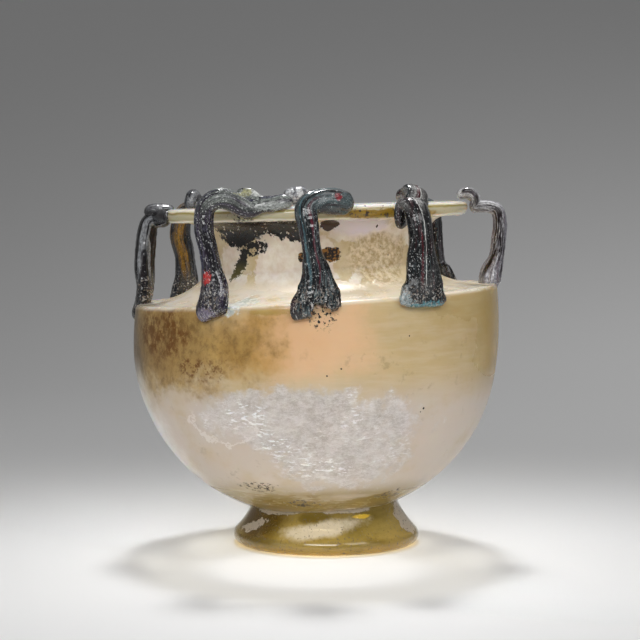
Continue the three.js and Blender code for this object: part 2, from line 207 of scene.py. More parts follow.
def wall_profile(inset, floor_inset):
    """The vessel's wall from the middle of its bottom up to the top of its neck."""
    girth = BELLY_RADIUS - inset
    edge_round = max(SHOULDER_EDGE_ROUND / 3, SHOULDER_EDGE_ROUND - inset / 2)
    edge = (SHOULDER_RADIUS - inset - edge_round, SHOULDER_HEIGHT - inset - edge_round)
    belly = (girth, BELLY_HEIGHT)
    upright = (girth, (BELLY_HEIGHT + edge[1]) / 2)
    neck_foot = (NECK_RADIUS - inset, SHOULDER_HEIGHT + SWEEP_RISE)
    sweep_start = (edge[0] - edge_round, edge[1] + edge_round)
    sweep_corner = (neck_foot[0] + SWEEP_REACH, sweep_start[1] + SHOULDER_EDGE_ROUND / 2)
    neck_top = (neck_foot[0] + NECK_WIDENING, FLARE_HEIGHT)
    return [
        *bowl_profile(inset, floor_inset),
        *bend(belly, upright, (edge[0] + edge_round, edge[1])),
        *arc(edge, edge_round, 15, 85),
        *bend(sweep_start, sweep_corner, neck_foot, 2 * BEND_STEPS),
        *straight(neck_foot, neck_top),
    ]


def lip_profile(inset):
    """The flare under the rim and the rolled lip, round to the lip's top."""
    lip_radius = RIM_THICKNESS / 2
    lip_centre = (RIM_RADIUS - lip_radius, RIM_HEIGHT + lip_radius)
    neck_top = (NECK_RADIUS + NECK_WIDENING - inset, FLARE_HEIGHT)
    flare_corner = (neck_top[0] + NECK_WIDENING, RIM_HEIGHT + inset)
    flange_start = (lerp(neck_top[0], lip_centre[0], 0.7), RIM_HEIGHT + inset)
    return [*bend(neck_top, flare_corner, flange_start)[1:], *arc(lip_centre, lip_radius - inset, -90, 90)]


def mouth_profile():
    """The mouth's funnel, from the lip's top in and down to the throat."""
    lip_top = (RIM_RADIUS - RIM_THICKNESS / 2, RIM_TOP)
    throat = (NECK_RADIUS + NECK_WIDENING - WALL, FLARE_HEIGHT)
    corner = (throat[0] + NECK_WIDENING, RIM_TOP - FUNNEL_DEPTH)
    return bend(lip_top, corner, throat, 2 * BEND_STEPS)[1:-1]


def vessel_profile():
    """The whole vessel: up its outside, over its lip, down its mouth and its inside to the middle."""
    inside = wall_profile(WALL, FLOOR)[::-1]
    return [*wall_profile(0, 0), *lip_profile(0), *mouth_profile(), *inside]


def vessel_room_profile():
    """The space that handles are pressed against, with the mouth filled, a little inside the skin."""
    return [*wall_profile(FUSED_DEPTH, FUSED_DEPTH), *lip_profile(FUSED_DEPTH), (0, RIM_TOP - FUSED_DEPTH)]


def foot_profile():
    """The foot's skirt and hollow, with a seat that follows the bowl that sits in it."""
    edge = (FOOT_RADIUS - FOOT_EDGE_ROUND, FOOT_EDGE_ROUND)
    skirt = arc(edge, FOOT_EDGE_ROUND, -90, 40)
    waist = (FOOT_WAIST_RADIUS, bowl_height_at(FOOT_WAIST_RADIUS))
    skirt_corner = (lerp(waist[0], skirt[-1][0], 0.4), lerp(skirt[-1][1], waist[1], 0.45))
    ring_inside = (edge[0] - FOOT_RING_WIDTH, 0)
    ceiling = (FOOT_HOLLOW_RADIUS, FOOT_HOLLOW_DEPTH)
    hollow_corner = (lerp(ceiling[0], ring_inside[0], 0.7), FOOT_HOLLOW_DEPTH)
    seat_radius = FOOT_WAIST_RADIUS - SEAT_STEP
    seat = [(seat_radius, bowl_height_at(seat_radius) + SEAT_EDGE_RISE)]
    for radius in SEAT_RADII:
        seat.append((radius, bowl_height_at(radius) + SEAT_RISE))
    return [
        (0, FOOT_HOLLOW_DEPTH),
        *bend(ceiling, hollow_corner, ring_inside),
        *straight(ring_inside, skirt[0], 4)[:-1],
        *skirt,
        *bend(skirt[-1], skirt_corner, waist, 2 * BEND_STEPS)[1:],
        *bend(waist, (waist[0], waist[1] + WAIST_LIP), seat[0], 4)[1:],
        *seat[1:],
    ]


# The handles' trails of glass. A place on a trail is (turn, radius, height, wide, thick), with the turn in
# degrees round the jar from the handle's own azimuth. It is given from the shoulder's edge, as a share of the
# way up a stem, from the rim's edge or from the rim's top.


def at_shoulder(turn, out, up, wide, thick):
    return (turn, SHOULDER_RADIUS + out, SHOULDER_HEIGHT + up, wide, thick)


def on_stem(rise, turn, out, wide, thick):
    return (turn, SHOULDER_RADIUS + out, lerp(SHOULDER_HEIGHT, RIM_HEIGHT, rise), wide, thick)


def at_rim(turn, out, up, wide, thick):
    return (turn, RIM_RADIUS + out, RIM_HEIGHT + up, wide, thick)


def over_rim(turn, out, up, wide, thick):
    return (turn, RIM_RADIUS + out, RIM_TOP + up, wide, thick)


HANDLES = {
    "handle_front": (270, [[
        at_shoulder(0.3, 0.6, -3.2, 11, 1.6),
        at_shoulder(0, 1.2, -1.7, 12.6, 3.2),
        at_shoulder(0.2, 0.6, 1, 12, 4.4),
        at_shoulder(0.2, 0.2, 4, 9.8, 4.6),
        on_stem(0.4, 0, 0, 7, 4.8),
        on_stem(0.65, -1.1, 0.3, 4.8, 5),
        on_stem(0.92, -2, 0.4, 5.4, 5.2),
        at_rim(-2.8, 7.4, 3, 6, 5.4),
        over_rim(0.6, 5, 1, 6.4, 5.8),
        over_rim(5.5, 3.4, 0.9, 6.8, 6.8),
        over_rim(9.4, 2.4, 0.3, 5.8, 6.4),
        over_rim(12.6, 1.8, 0, 3, 3.4),
    ]]),
    "handle_front_right": (302.7, [[
        at_shoulder(-0.2, 0.6, -3, 11, 1.6),
        at_shoulder(-0.1, 1.2, -1.5, 14.6, 3.4),
        at_shoulder(0, 0.6, 1.4, 13, 4.4),
        at_shoulder(0.4, 0.1, 4.2, 10.4, 4.6),
        on_stem(0.5, 0, 0, 8, 4.8),
        on_stem(0.75, -0.2, 0.2, 6.8, 4.6),
        on_stem(0.98, -0.6, -0.2, 6.8, 4.2),
        at_rim(-0.4, 5, 3.2, 7, 3.8),
        at_rim(0, 0.4, 2.4, 7, 3.2),
    ], [
        at_rim(0.4, 3, 2.4, 6, 3.6),
        over_rim(1.8, 3.6, 0.2, 7.4, 4.6),
        over_rim(3.4, 1.4, 2.1, 7.4, 4.8),
        over_rim(3, -1.4, 1.8, 6, 4),
        over_rim(0.6, -3.6, 1, 3.6, 2.4),
    ], [
        over_rim(-1.6, 2.8, 0.2, 2.8, 2.6),
        over_rim(-3.2, 2.8, -0.8, 3.2, 2.8),
        at_rim(-3.6, 2.9, 1, 3.4, 2.8),
        at_rim(-2.6, 2.3, -1, 3.6, 2.8),
        at_rim(-0.8, 1.2, -2, 2.6, 2.4),
    ]]),
    "handle_right": (0, [[
        at_shoulder(0, -0.5, -2.8, 5, 1.4),
        at_shoulder(0, -1.8, -0.2, 9, 6),
        at_shoulder(0, -1.3, 3.4, 7.2, 6),
        on_stem(0.4, 0, 0, 5.8, 4.2),
        on_stem(0.64, 0, 0.6, 5.4, 4.2),
        on_stem(0.86, 0, 0.9, 5.4, 3.8),
        at_rim(0, 8, 1, 5.4, 3.6),
        at_rim(0, 5, 2, 5.4, 3.4),
        at_rim(0, 0.6, 1.8, 5.4, 3.4),
    ], [
        at_rim(0, 1.4, 1.2, 4.6, 2.6),
        over_rim(0, 2.2, 0, 5.6, 3),
        over_rim(0.4, 1, 1.7, 6, 3),
        over_rim(0.6, -1, 2, 5.8, 2.8),
        over_rim(0.4, -2.8, 1.1, 4, 2.2),
    ]]),
    "handle_back_right": (44, [[
        at_shoulder(-0.6, 0.6, -3.6, 8, 1.6),
        at_shoulder(-0.6, 1, -1.6, 11.4, 3.2),
        at_shoulder(-0.6, -0.4, 1.6, 11, 4.4),
        at_shoulder(0.4, -1.2, 5, 7.6, 4.4),
        on_stem(0.55, 0.8, -1.6, 6.2, 4.4),
        on_stem(0.85, 1, -1.4, 6, 4.4),
        at_rim(1.6, 5.8, 1.6, 6.2, 4),
        over_rim(1.8, 3, -0.8, 6.6, 3.4),
        over_rim(2, -0.4, 0.1, 6.4, 2.4),
        over_rim(2.2, -3, 0.1, 3.6, 1.8),
    ]]),
    "handle_back": (96, [[
        at_shoulder(0, 0.6, -4.2, 8, 1.6),
        at_shoulder(0, 1.2, -2.2, 12, 3.2),
        at_shoulder(0, 0.4, 1.4, 11.6, 4.4),
        at_shoulder(0, 0, 4.8, 8.4, 4.6),
        on_stem(0.5, 0.2, 0, 6.4, 4.8),
        on_stem(0.85, 0.8, 0, 6, 4.8),
        at_rim(1.4, 6.2, 3.6, 6.6, 4.6),
        over_rim(1.8, 2.6, 2.2, 8, 5),
        over_rim(2.2, -1, 2.8, 8.4, 4.8),
        over_rim(2.2, -3.6, 1.6, 4.6, 2.8),
    ]]),
    "handle_back_left": (140.2, [[
        at_shoulder(0, 0.6, -3.8, 7.4, 1.6),
        at_shoulder(0, 1, -1.8, 10.4, 3.2),
        at_shoulder(0, 0.2, 1.6, 9.8, 4.4),
        at_shoulder(0, -0.2, 5, 8, 4.6),
        on_stem(0.55, 0.4, 0, 6.8, 4.6),
        on_stem(0.85, 2.4, 0, 6.8, 4.6),
        at_rim(3, 6, 2.6, 6.6, 4.4),
        over_rim(4, 2.4, 0.6, 6.6, 4.2),
        over_rim(4.6, -1.6, 1, 6.4, 3.6),
    ], [
        over_rim(0, 2, 0.8, 3.4, 2.8),
        over_rim(4, 1.6, 2.2, 6, 4.2),
        over_rim(8.4, 0.2, 1.8, 6.2, 4.2),
        over_rim(12, -0.8, 0.2, 3.6, 2.6),
    ]]),
    "handle_left": (180, [[
        at_shoulder(0, -0.1, -4.6, 5, 1.4),
        at_shoulder(0, -0.2, -2.4, 8, 2.6),
        at_shoulder(0, -1.9, 0.8, 9, 4.2),
        at_shoulder(0, -2.5, 4.4, 7.6, 4.6),
        on_stem(0.42, 0, -2.4, 6.6, 5.4),
        on_stem(0.68, 0, -2.5, 6.2, 5.4),
        at_rim(0, 5.1, -2, 6, 5.2),
        at_rim(0, 4.2, 0.6, 6.2, 4.6),
        at_rim(0, 1.6, 1.2, 6.2, 4.4),
        at_rim(0, -1.6, 0.4, 5, 3.6),
    ], [
        over_rim(0, -2.4, 0, 4.2, 2.4),
        over_rim(0, 0.6, -0.1, 5.6, 3.2),
        over_rim(0, 3.4, -0.3, 5.8, 3.6),
        over_rim(0, 5.8, -0.8, 4.2, 2.6),
    ], [
        at_rim(0, 2, 1.6, 3.6, 3.6),
        at_rim(5, 1.4, 1.8, 4.8, 3),
        at_rim(10, 0.8, 1.8, 4.2, 2.4),
        at_rim(16, 0.1, 1.6, 3, 1.6),
    ]]),
    "handle_front_left": (237.4, [[
        at_shoulder(2, 0.6, -2.7, 8.2, 1.8),
        at_shoulder(1.4, 1.2, -1, 9.4, 3.4),
        at_shoulder(1.6, 0.8, 1.6, 9.2, 4.6),
        at_shoulder(1.5, 0.2, 5, 7.4, 4.8),
        on_stem(0.45, 0.4, 0, 5.4, 4.8),
        on_stem(0.7, -0.5, 0.4, 4.8, 4.8),
        on_stem(0.94, -1.8, 0.8, 4.8, 4.8),
        at_rim(-1.6, 8.3, 4.2, 5, 4.4),
        over_rim(1.4, 7.2, 2.5, 5.2, 4.2),
        over_rim(4.2, 5, 2.1, 5.2, 4.2),
        over_rim(6.8, 3, 0.6, 5.2, 4.2),
        over_rim(9.6, 1.6, -0.3, 4.8, 3.8),
        over_rim(13, 0.6, 0.6, 4.4, 3),
        over_rim(17.8, 0.2, 0.8, 4.2, 2.8),
        over_rim(21.4, -0.2, 1.2, 4, 3.2),
        over_rim(24.4, -0.8, 0.8, 2, 1.8),
    ], [
        over_rim(13.4, 0.8, 0, 2.8, 2.2),
        over_rim(12, 0.6, 1.4, 3.2, 2.2),
        over_rim(10, 0.5, 2.8, 3, 1.8),
        over_rim(7.2, 0.6, 3.6, 3, 1.5),
        over_rim(4.2, 1.4, 3.4, 2.2, 1.3),
    ]]),
}


def through(places, share):
    """Where a smooth curve through the places is, at a share of the way along them."""
    count = len(places)
    step = min(int(share * (count - 1)), count - 2)
    t = share * (count - 1) - step
    before = places[step - 1] if step > 0 else 2 * places[0] - places[1]
    start, end = places[step], places[step + 1]
    after = places[step + 2] if step + 2 < count else 2 * places[-1] - places[-2]
    gap_before, gap, gap_after = (
        max((b - a).length, 1e-6) ** 0.5 for a, b in ((before, start), (start, end), (end, after))
    )
    leave = ((start - before) / gap_before - (end - before) / (gap_before + gap) + (end - start) / gap) * gap
    arrive = ((end - start) / gap - (after - start) / (gap + gap_after) + (after - end) / gap_after) * gap
    return (
        start * (2 * t**3 - 3 * t**2 + 1)
        + leave * (t**3 - 2 * t**2 + t)
        + end * (3 * t**2 - 2 * t**3)
        + arrive * (t**3 - t**2)
    )


def trail_line(azimuth, places):
    """A trail as closely spaced points, each with its centre, the ways across and outward, and its girth."""
    centres = []
    girths = []
    for turn, radius, height, wide, thick in places:
        angle = math.radians(azimuth + turn)
        centres.append(Vector((radius * math.cos(angle), radius * math.sin(angle), height)))
        girths.append(Vector((wide, thick, 0)))
    length = sum((b - a).length for a, b in zip(centres, centres[1:]))
    steps = round(length / TRAIL_STEP)
    start_angle = math.radians(azimuth + places[0][0])
    outward = Vector((math.cos(start_angle), math.sin(start_angle), 0))
    line = []
    travelled = 0
    for i in range(steps + 1):
        share = i / steps
        centre = through(centres, share)
        ahead = through(centres, min(1, share + 0.001)) - through(centres, max(0, share - 0.001))
        along = ahead.normalized()
        outward = (outward - along * outward.dot(along)).normalized()
        across = along.cross(outward)
        girth = through(girths, share)
        if line:
            travelled += (centre - line[-1]["centre"]).length
        line.append({
            "centre": centre, "across": across, "outward": outward, "girth": girth, "along": travelled,
        })
    return rounded_ends(line)


def rounded_ends(line):
    """The trail with its last end drawn in to a round tip and its first pressed flat, as hot glass goes."""
    for place in line:
        reach = line[-1]["along"] - place["along"]
        tip = min(1, reach / (TIP_SHARE * min(place["girth"].x, place["girth"].y)))
        place["girth"] = place["girth"] * max(TIP_LEAST, math.sqrt(1 - (1 - tip) ** 2))
        press = min(1, place["along"] / PRESSED_LENGTH)
        place["girth"].y *= max(PRESSED_LEAST, math.sqrt(1 - (1 - press) ** 2))
    return line


def line_object(name, lines):
    """An object whose mesh is open lines of points, with each point's own values as attributes."""
    points = [point for line in lines for point in line]
    edges = []
    first = 0
    for line in lines:
        edges += [(first + i, first + i + 1) for i in range(len(line) - 1)]
        first += len(line)
    mesh = bpy.data.meshes.new(name)
    mesh.from_pydata([point["centre"] * MM for point in points], edges, [])
    for key in sorted(set(points[0]) - {"centre"}):
        is_vector = isinstance(points[0][key], Vector)
        attribute = mesh.attributes.new(key, "FLOAT_VECTOR" if is_vector else "FLOAT", "POINT")
        for i, point in enumerate(points):
            if is_vector:
                attribute.data[i].vector = point[key]
            else:
                attribute.data[i].value = point[key]
    made = bpy.data.objects.new(name, mesh)
    bpy.context.scene.collection.objects.link(made)
    return made


def profile_object(name, profile):
    """An object whose mesh is a turned piece's profile, upright over the X axis."""
    return line_object(name, [[{"centre": Vector((radius, 0, height))} for radius, height in profile]])


# Geometry Nodes trees. Each takes its sizes as named inputs.


def new_tree(name, inputs):
    """An empty geometry tree with a geometry in and out and the named inputs."""
    tree = bpy.data.node_groups.new(name, "GeometryNodeTree")
    tree.interface.new_socket("Geometry", in_out="INPUT", socket_type="NodeSocketGeometry")
    tree.interface.new_socket("Geometry", in_out="OUTPUT", socket_type="NodeSocketGeometry")
    for label, kind in inputs:
        tree.interface.new_socket(label, in_out="INPUT", socket_type="NodeSocket" + kind)
    return tree, add(tree, "NodeGroupInput").outputs


def remembered(tree, geometry, label):
    """The same geometry with its points' places kept under a label, for when it has been swept."""
    kept = add(tree, "GeometryNodeCaptureAttribute", {"Geometry": geometry})
    kept.capture_items.new("VECTOR", label)
    tree.links.new(add(tree, "GeometryNodeInputPosition").outputs[0], kept.inputs[label])
    return kept


def finish_tree(tree, geometry, given):
    """End a tree as every piece ends: real geometry, smooth faces and its one finish."""
    real = add(tree, "GeometryNodeRealizeInstances", {"Geometry": geometry})
    smooth = add(tree, "GeometryNodeSetShadeSmooth", {"Geometry": real})
    dressed = add(tree, "GeometryNodeSetMaterial", {"Geometry": smooth, "Material": given["Finish"]})
    add(tree, "NodeGroupOutput", {"Geometry": dressed})


def sag_tree():
    """Sags hot glass that was made straight about the vessel's axis, and stands it on that axis."""
    tree, given = new_tree("hot glass sag", [("Axis X", "Float")])
    position = add(tree, "GeometryNodeInputPosition")
    parts = add(tree, "ShaderNodeSeparateXYZ", {"Vector": position}).outputs
    low = add(tree, "ShaderNodeMapRange", {
        "Value": parts["Z"],
        "From Min": LEAN_START_HEIGHT * MM,
        "From Max": SHOULDER_HEIGHT * MM,
        "To Max": math.tan(SHOULDER_LEAN),
    }, interpolation_type="SMOOTHSTEP")
    high = add(tree, "ShaderNodeMapRange", {
        "Value": parts["Z"],
        "From Min": SHOULDER_HEIGHT * MM,
        "From Max": RIM_HEIGHT * MM,
        "To Max": math.tan(RIM_LEAN) - math.tan(SHOULDER_LEAN),
    })
    lean = add(tree, "ShaderNodeMath", {0: low, 1: high}, operation="ADD")
    rise = add(tree, "ShaderNodeMath", {0: parts["X"], 1: lean}, operation="MULTIPLY")
    offset = add(tree, "ShaderNodeCombineXYZ", {"X": given["Axis X"], "Z": rise})
    moved = add(tree, "GeometryNodeSetPosition", {"Geometry": given["Geometry"], "Offset": offset})
    add(tree, "NodeGroupOutput", {"Geometry": moved})
    return tree


def turned_tree(sag):
    """Turns a profile round the axis, makes it a little uneven as blown glass is, and sags it."""
    tree, given = new_tree("turned glass", [
        ("Segments", "Int"), ("Unevenness", "Float"), ("Wave Size", "Float"), ("Seed", "Float"),
        ("Axis X", "Float"), ("Sags", "Bool"), ("Finish", "Material"),
    ])
    profile = add(tree, "GeometryNodeMeshToCurve", {"Mesh": given["Geometry"]})
    kept_profile = remembered(tree, profile, "Profile")
    ring = add(tree, "GeometryNodeCurvePrimitiveCircle", {"Resolution": given["Segments"], "Radius": 1.0})
    kept_ring = remembered(tree, ring, "Turn")
    swept = add(tree, "GeometryNodeCurveToMesh", {"Curve": kept_ring, "Profile Curve": kept_profile})
    profile_parts = add(tree, "ShaderNodeSeparateXYZ", {"Vector": kept_profile.outputs["Profile"]}).outputs
    reach = add(tree, "ShaderNodeVectorMath", {
        "Vector": kept_ring.outputs["Turn"], "Scale": profile_parts["X"],
    }, operation="SCALE")
    height = add(tree, "ShaderNodeCombineXYZ", {"Z": profile_parts["Z"]})
    spot = add(tree, "ShaderNodeVectorMath", {0: reach, 1: height}, operation="ADD")
    placed = add(tree, "GeometryNodeSetPosition", {"Geometry": swept, "Position": spot})
    closed = add(tree, "GeometryNodeMergeByDistance", {"Geometry": placed, "Distance": WELD_DISTANCE * MM})
    place = add(tree, "GeometryNodeInputPosition")
    wave_scale = add(tree, "ShaderNodeMath", {0: 1.0, 1: given["Wave Size"]}, operation="DIVIDE")
    wave = add(tree, "ShaderNodeTexNoise", {
        "Vector": place, "W": given["Seed"], "Scale": wave_scale, "Detail": 1.0,
    }, noise_dimensions="4D")
    centred = add(tree, "ShaderNodeMath", {0: wave.outputs[0], 1: 0.5}, operation="SUBTRACT")
    swing = add(tree, "ShaderNodeMath", {0: centred, 1: given["Unevenness"]}, operation="MULTIPLY")
    level = add(tree, "ShaderNodeVectorMath", {0: place, 1: (1.0, 1.0, 0.0)}, operation="MULTIPLY")
    away = add(tree, "ShaderNodeVectorMath", {0: level}, operation="NORMALIZE")
    push = add(tree, "ShaderNodeVectorMath", {"Vector": away, "Scale": swing}, operation="SCALE")
    uneven = add(tree, "GeometryNodeSetPosition", {"Geometry": closed, "Offset": push})
    outside_in = add(tree, "GeometryNodeFlipFaces", {"Mesh": uneven})
    sagged = add(tree, "GeometryNodeGroup", {
        "Geometry": outside_in, "Axis X": given["Axis X"],
    }, node_tree=sag)
    shift = add(tree, "ShaderNodeCombineXYZ", {"X": given["Axis X"]})
    unsagged = add(tree, "GeometryNodeSetPosition", {"Geometry": outside_in, "Offset": shift})
    chosen = add(tree, "GeometryNodeSwitch", {
        "Switch": given["Sags"], "False": unsagged, "True": sagged,
    }, input_type="GEOMETRY")
    finish_tree(tree, chosen, given)
    return tree


def trail_tree(sag):
    """Sweeps ribbed oval trails along lines, fuses them, presses them on the vessel and sags them."""
    tree, given = new_tree("trailed glass", [
        ("Sides", "Int"), ("Rib Depth", "Float"), ("Rib Size", "Float"), ("Seed", "Float"),
        ("Voxel", "Float"), ("Room", "Object"), ("Chip", "Object"), ("Axis X", "Float"),
        ("Finish", "Material"),
    ])
    line = add(tree, "GeometryNodeMeshToCurve", {"Mesh": given["Geometry"]})
    kept_line = remembered(tree, line, "Centre")
    ring = add(tree, "GeometryNodeCurvePrimitiveCircle", {"Resolution": given["Sides"], "Radius": 1.0})
    kept_ring = remembered(tree, ring, "Side")
    swept = add(tree, "GeometryNodeCurveToMesh", {
        "Curve": kept_line, "Profile Curve": kept_ring, "Fill Caps": True,
    })
    side = add(tree, "ShaderNodeSeparateXYZ", {"Vector": kept_ring.outputs["Side"]}).outputs
    across, outward, girth = (
        add(tree, "GeometryNodeInputNamedAttribute", {"Name": name}, data_type="FLOAT_VECTOR")
        for name in ("across", "outward", "girth")
    )
    along = add(tree, "GeometryNodeInputNamedAttribute", {"Name": "along"}, data_type="FLOAT")
    girths = add(tree, "ShaderNodeSeparateXYZ", {"Vector": girth}).outputs
    half_wide = add(tree, "ShaderNodeMath", {0: girths["X"], 1: side["X"]}, operation="MULTIPLY")
    half_thick = add(tree, "ShaderNodeMath", {0: girths["Y"], 1: side["Y"]}, operation="MULTIPLY")
    wide = add(tree, "ShaderNodeMath", {0: half_wide, 1: 0.5 * MM}, operation="MULTIPLY")
    thick = add(tree, "ShaderNodeMath", {0: half_thick, 1: 0.5 * MM}, operation="MULTIPLY")
    metres = add(tree, "ShaderNodeMath", {0: along, 1: MM}, operation="MULTIPLY")
    grain = add(tree, "ShaderNodeCombineXYZ", {"X": wide, "Y": thick, "Z": metres})
    drawn = add(tree, "ShaderNodeVectorMath", {0: grain, 1: (1.0, 1.0, RIB_DRAW)}, operation="MULTIPLY")
    rib_scale = add(tree, "ShaderNodeMath", {0: 1.0, 1: given["Rib Size"]}, operation="DIVIDE")
    ribs = add(tree, "ShaderNodeTexNoise", {
        "Vector": drawn, "W": given["Seed"], "Scale": rib_scale, "Detail": 1.0,
    }, noise_dimensions="4D")
    centred = add(tree, "ShaderNodeMath", {0: ribs.outputs[0], 1: 0.5}, operation="SUBTRACT")
    ridge = add(tree, "ShaderNodeMath", {0: centred, 1: given["Rib Depth"]}, operation="MULTIPLY")
    grow = add(tree, "ShaderNodeMath", {0: ridge, 1: 1.0}, operation="ADD")
    step_across = add(tree, "ShaderNodeVectorMath", {"Vector": across, "Scale": wide}, operation="SCALE")
    step_out = add(tree, "ShaderNodeVectorMath", {"Vector": outward, "Scale": thick}, operation="SCALE")
    step = add(tree, "ShaderNodeVectorMath", {0: step_across, 1: step_out}, operation="ADD")
    ribbed = add(tree, "ShaderNodeVectorMath", {"Vector": step, "Scale": grow}, operation="SCALE")
    spot = add(tree, "ShaderNodeVectorMath", {0: kept_line.outputs["Centre"], 1: ribbed}, operation="ADD")
    placed = add(tree, "GeometryNodeSetPosition", {"Geometry": swept, "Position": spot})
    grained = add(tree, "GeometryNodeStoreNamedAttribute", {
        "Geometry": placed, "Name": "grain", "Value": grain,
    }, data_type="FLOAT_VECTOR", domain="POINT")
    volume = add(tree, "GeometryNodeMeshToVolume", {
        "Mesh": grained, "Voxel Size": given["Voxel"], "Interior Band Width": 0.5 * MM,
    }, resolution_mode="VOXEL_SIZE")
    fused = add(tree, "GeometryNodeVolumeToMesh", {"Volume": volume, "Threshold": FUSED_THRESHOLD})
    calmed = add(tree, "GeometryNodeBlurAttribute", {
        "Value": add(tree, "GeometryNodeInputPosition"), "Iterations": 2,
    }, data_type="FLOAT_VECTOR")
    smooth = add(tree, "GeometryNodeSetPosition", {"Geometry": fused, "Position": calmed})
    room = add(tree, "GeometryNodeObjectInfo", {"Object": given["Room"]})
    chip = add(tree, "GeometryNodeObjectInfo", {"Object": given["Chip"]})
    pressed = add(tree, "GeometryNodeMeshBoolean", {
        "Mesh 1": smooth, "Mesh 2": room.outputs["Geometry"],
    }, operation="DIFFERENCE", solver="MANIFOLD")
    tree.links.new(chip.outputs["Geometry"], pressed.inputs["Mesh 2"])
    original = add(tree, "GeometryNodeInputNamedAttribute", {"Name": "grain"}, data_type="FLOAT_VECTOR")
    nearest = add(tree, "GeometryNodeSampleNearestSurface", {
        "Mesh": grained, "Value": original,
    }, data_type="FLOAT_VECTOR")
    regrained = add(tree, "GeometryNodeStoreNamedAttribute", {
        "Geometry": pressed, "Name": "grain", "Value": nearest,
    }, data_type="FLOAT_VECTOR", domain="POINT")
    sagged = add(tree, "GeometryNodeGroup", {
        "Geometry": regrained, "Axis X": given["Axis X"],
    }, node_tree=sag)
    finish_tree(tree, sagged, given)
    return tree


def made_by(tree, name, source, **values):
    """The plain mesh that a tree makes of a source object, as a new object; the source is used up."""
    modifier = source.modifiers.new("maker", "NODES")
    modifier.node_group = tree
    for item in tree.interface.items_tree:
        key = item.name.replace(" ", "_").lower()
        if item.item_type == "SOCKET" and item.in_out == "INPUT" and key in values:
            modifier[item.identifier] = values[key]
    graph = bpy.context.evaluated_depsgraph_get()
    mesh = bpy.data.meshes.new_from_object(source.evaluated_get(graph))
    bpy.data.objects.remove(source)
    mesh.name = name
    made = bpy.data.objects.new(name, mesh)
    bpy.context.scene.collection.objects.link(made)
    return made


# Finishes. Each is built up film by film on the piece's own skin.

OUTER_SKIN = [*wall_profile(0, 0), *lip_profile(0)]
FOOT_SKIN = (FOOT_AXIS_X, foot_profile())

# A patch reaches this far through the skin, and further where it bends round the jar.
PATCH_DEPTH = 8
PATCH_BEND = 2.5


def new_finish(name, **values):
    """A material with one Principled shader, whose even values are set on its own sockets."""
    material = bpy.data.materials.new(name)
    material.use_nodes = True
    tree = material.node_tree
    tree.nodes.clear()
    names = {key.replace("_", " ").title().replace("Ior", "IOR"): value for key, value in values.items()}
    shader = add(tree, "ShaderNodeBsdfPrincipled", names)
    add(tree, "ShaderNodeOutputMaterial", {"Surface": shader})
    return material, tree, shader


def mottle(tree, spot, size, threshold, edge, seed, detail=5.0, roughness=0.6):
    """Blotches about a size in millimetres: 1 where the noise is over the threshold, with a soft edge."""
    noise = add(tree, "ShaderNodeTexNoise", {
        "Vector": spot, "W": float(seed), "Scale": 1 / (size * MM), "Detail": detail, "Roughness": roughness,
    }, noise_dimensions="4D")
    return add(tree, "ShaderNodeMapRange", {
        "Value": noise, "From Min": threshold - edge / 2, "From Max": threshold + edge / 2,
    }, interpolation_type="SMOOTHSTEP").outputs["Result"]


def both(tree, *masks, strength=1.0):
    """Where all the masks are, at a strength."""
    result = masks[0]
    for mask in masks[1:]:
        result = add(tree, "ShaderNodeMath", {0: result, 1: mask}, operation="MULTIPLY").outputs[0]
    if strength != 1.0:
        result = add(tree, "ShaderNodeMath", {0: result, 1: strength}, operation="MULTIPLY").outputs[0]
    return result


def either(tree, *masks):
    """Where any of the masks is."""
    result = masks[0]
    for mask in masks[1:]:
        result = add(tree, "ShaderNodeMath", {0: result, 1: mask}, operation="MAXIMUM").outputs[0]
    return result


def blended(tree, share, first, second):
    """A colour that goes from the first hex colour or socket to the second."""
    ends = [colour(end) if isinstance(end, str) else end for end in (first, second)]
    mix = add(tree, "ShaderNodeMix", {
        "Factor_Float": share, "A_Color": ends[0], "B_Color": ends[1],
    }, data_type="RGBA")
    return socket(mix.outputs, "Result_Color")


def lay(tree, below, where, paint, **finish):
    """What shows when a film lies over what is below it: its colour, and its cover, roughness and height in
    mm where they are given."""
    now = dict(below)
    for key, value in finish.items():
        mix = add(tree, "ShaderNodeMix", {
            "Factor_Float": where, "A_Float": below[key], "B_Float": value,
        }, data_type="FLOAT")
        now[key] = socket(mix.outputs, "Result_Float")
    now["colour"] = blended(tree, where, below["colour"], paint)
    return now


def veins(tree, spot, size, width, seed, detail=4.0, roughness=0.6):
    """1 along fine winding lines, about a size in millimetres apart."""
    noise = add(tree, "ShaderNodeTexNoise", {
        "Vector": spot, "W": float(seed), "Scale": 1 / (size * MM), "Detail": detail, "Roughness": roughness,
    }, noise_dimensions="4D")
    off_line = add(tree, "ShaderNodeMath", {0: noise, 1: 0.5}, operation="SUBTRACT")
    distance = add(tree, "ShaderNodeMath", {0: off_line}, operation="ABSOLUTE")
    return add(tree, "ShaderNodeMapRange", {
        "Value": distance, "From Min": width, "From Max": 0.0,
    }, interpolation_type="SMOOTHSTEP").outputs["Result"]


def skin_radius(profile, height):
    """How far out a turned piece's skin is at a height, in mm."""
    spans = [
        lerp(below[0], above[0], (height - below[1]) / (above[1] - below[1]))
        for below, above in zip(profile, profile[1:])
        if min(below[1], above[1]) <= height <= max(below[1], above[1]) and below[1] != above[1]
    ]
    return max(spans)


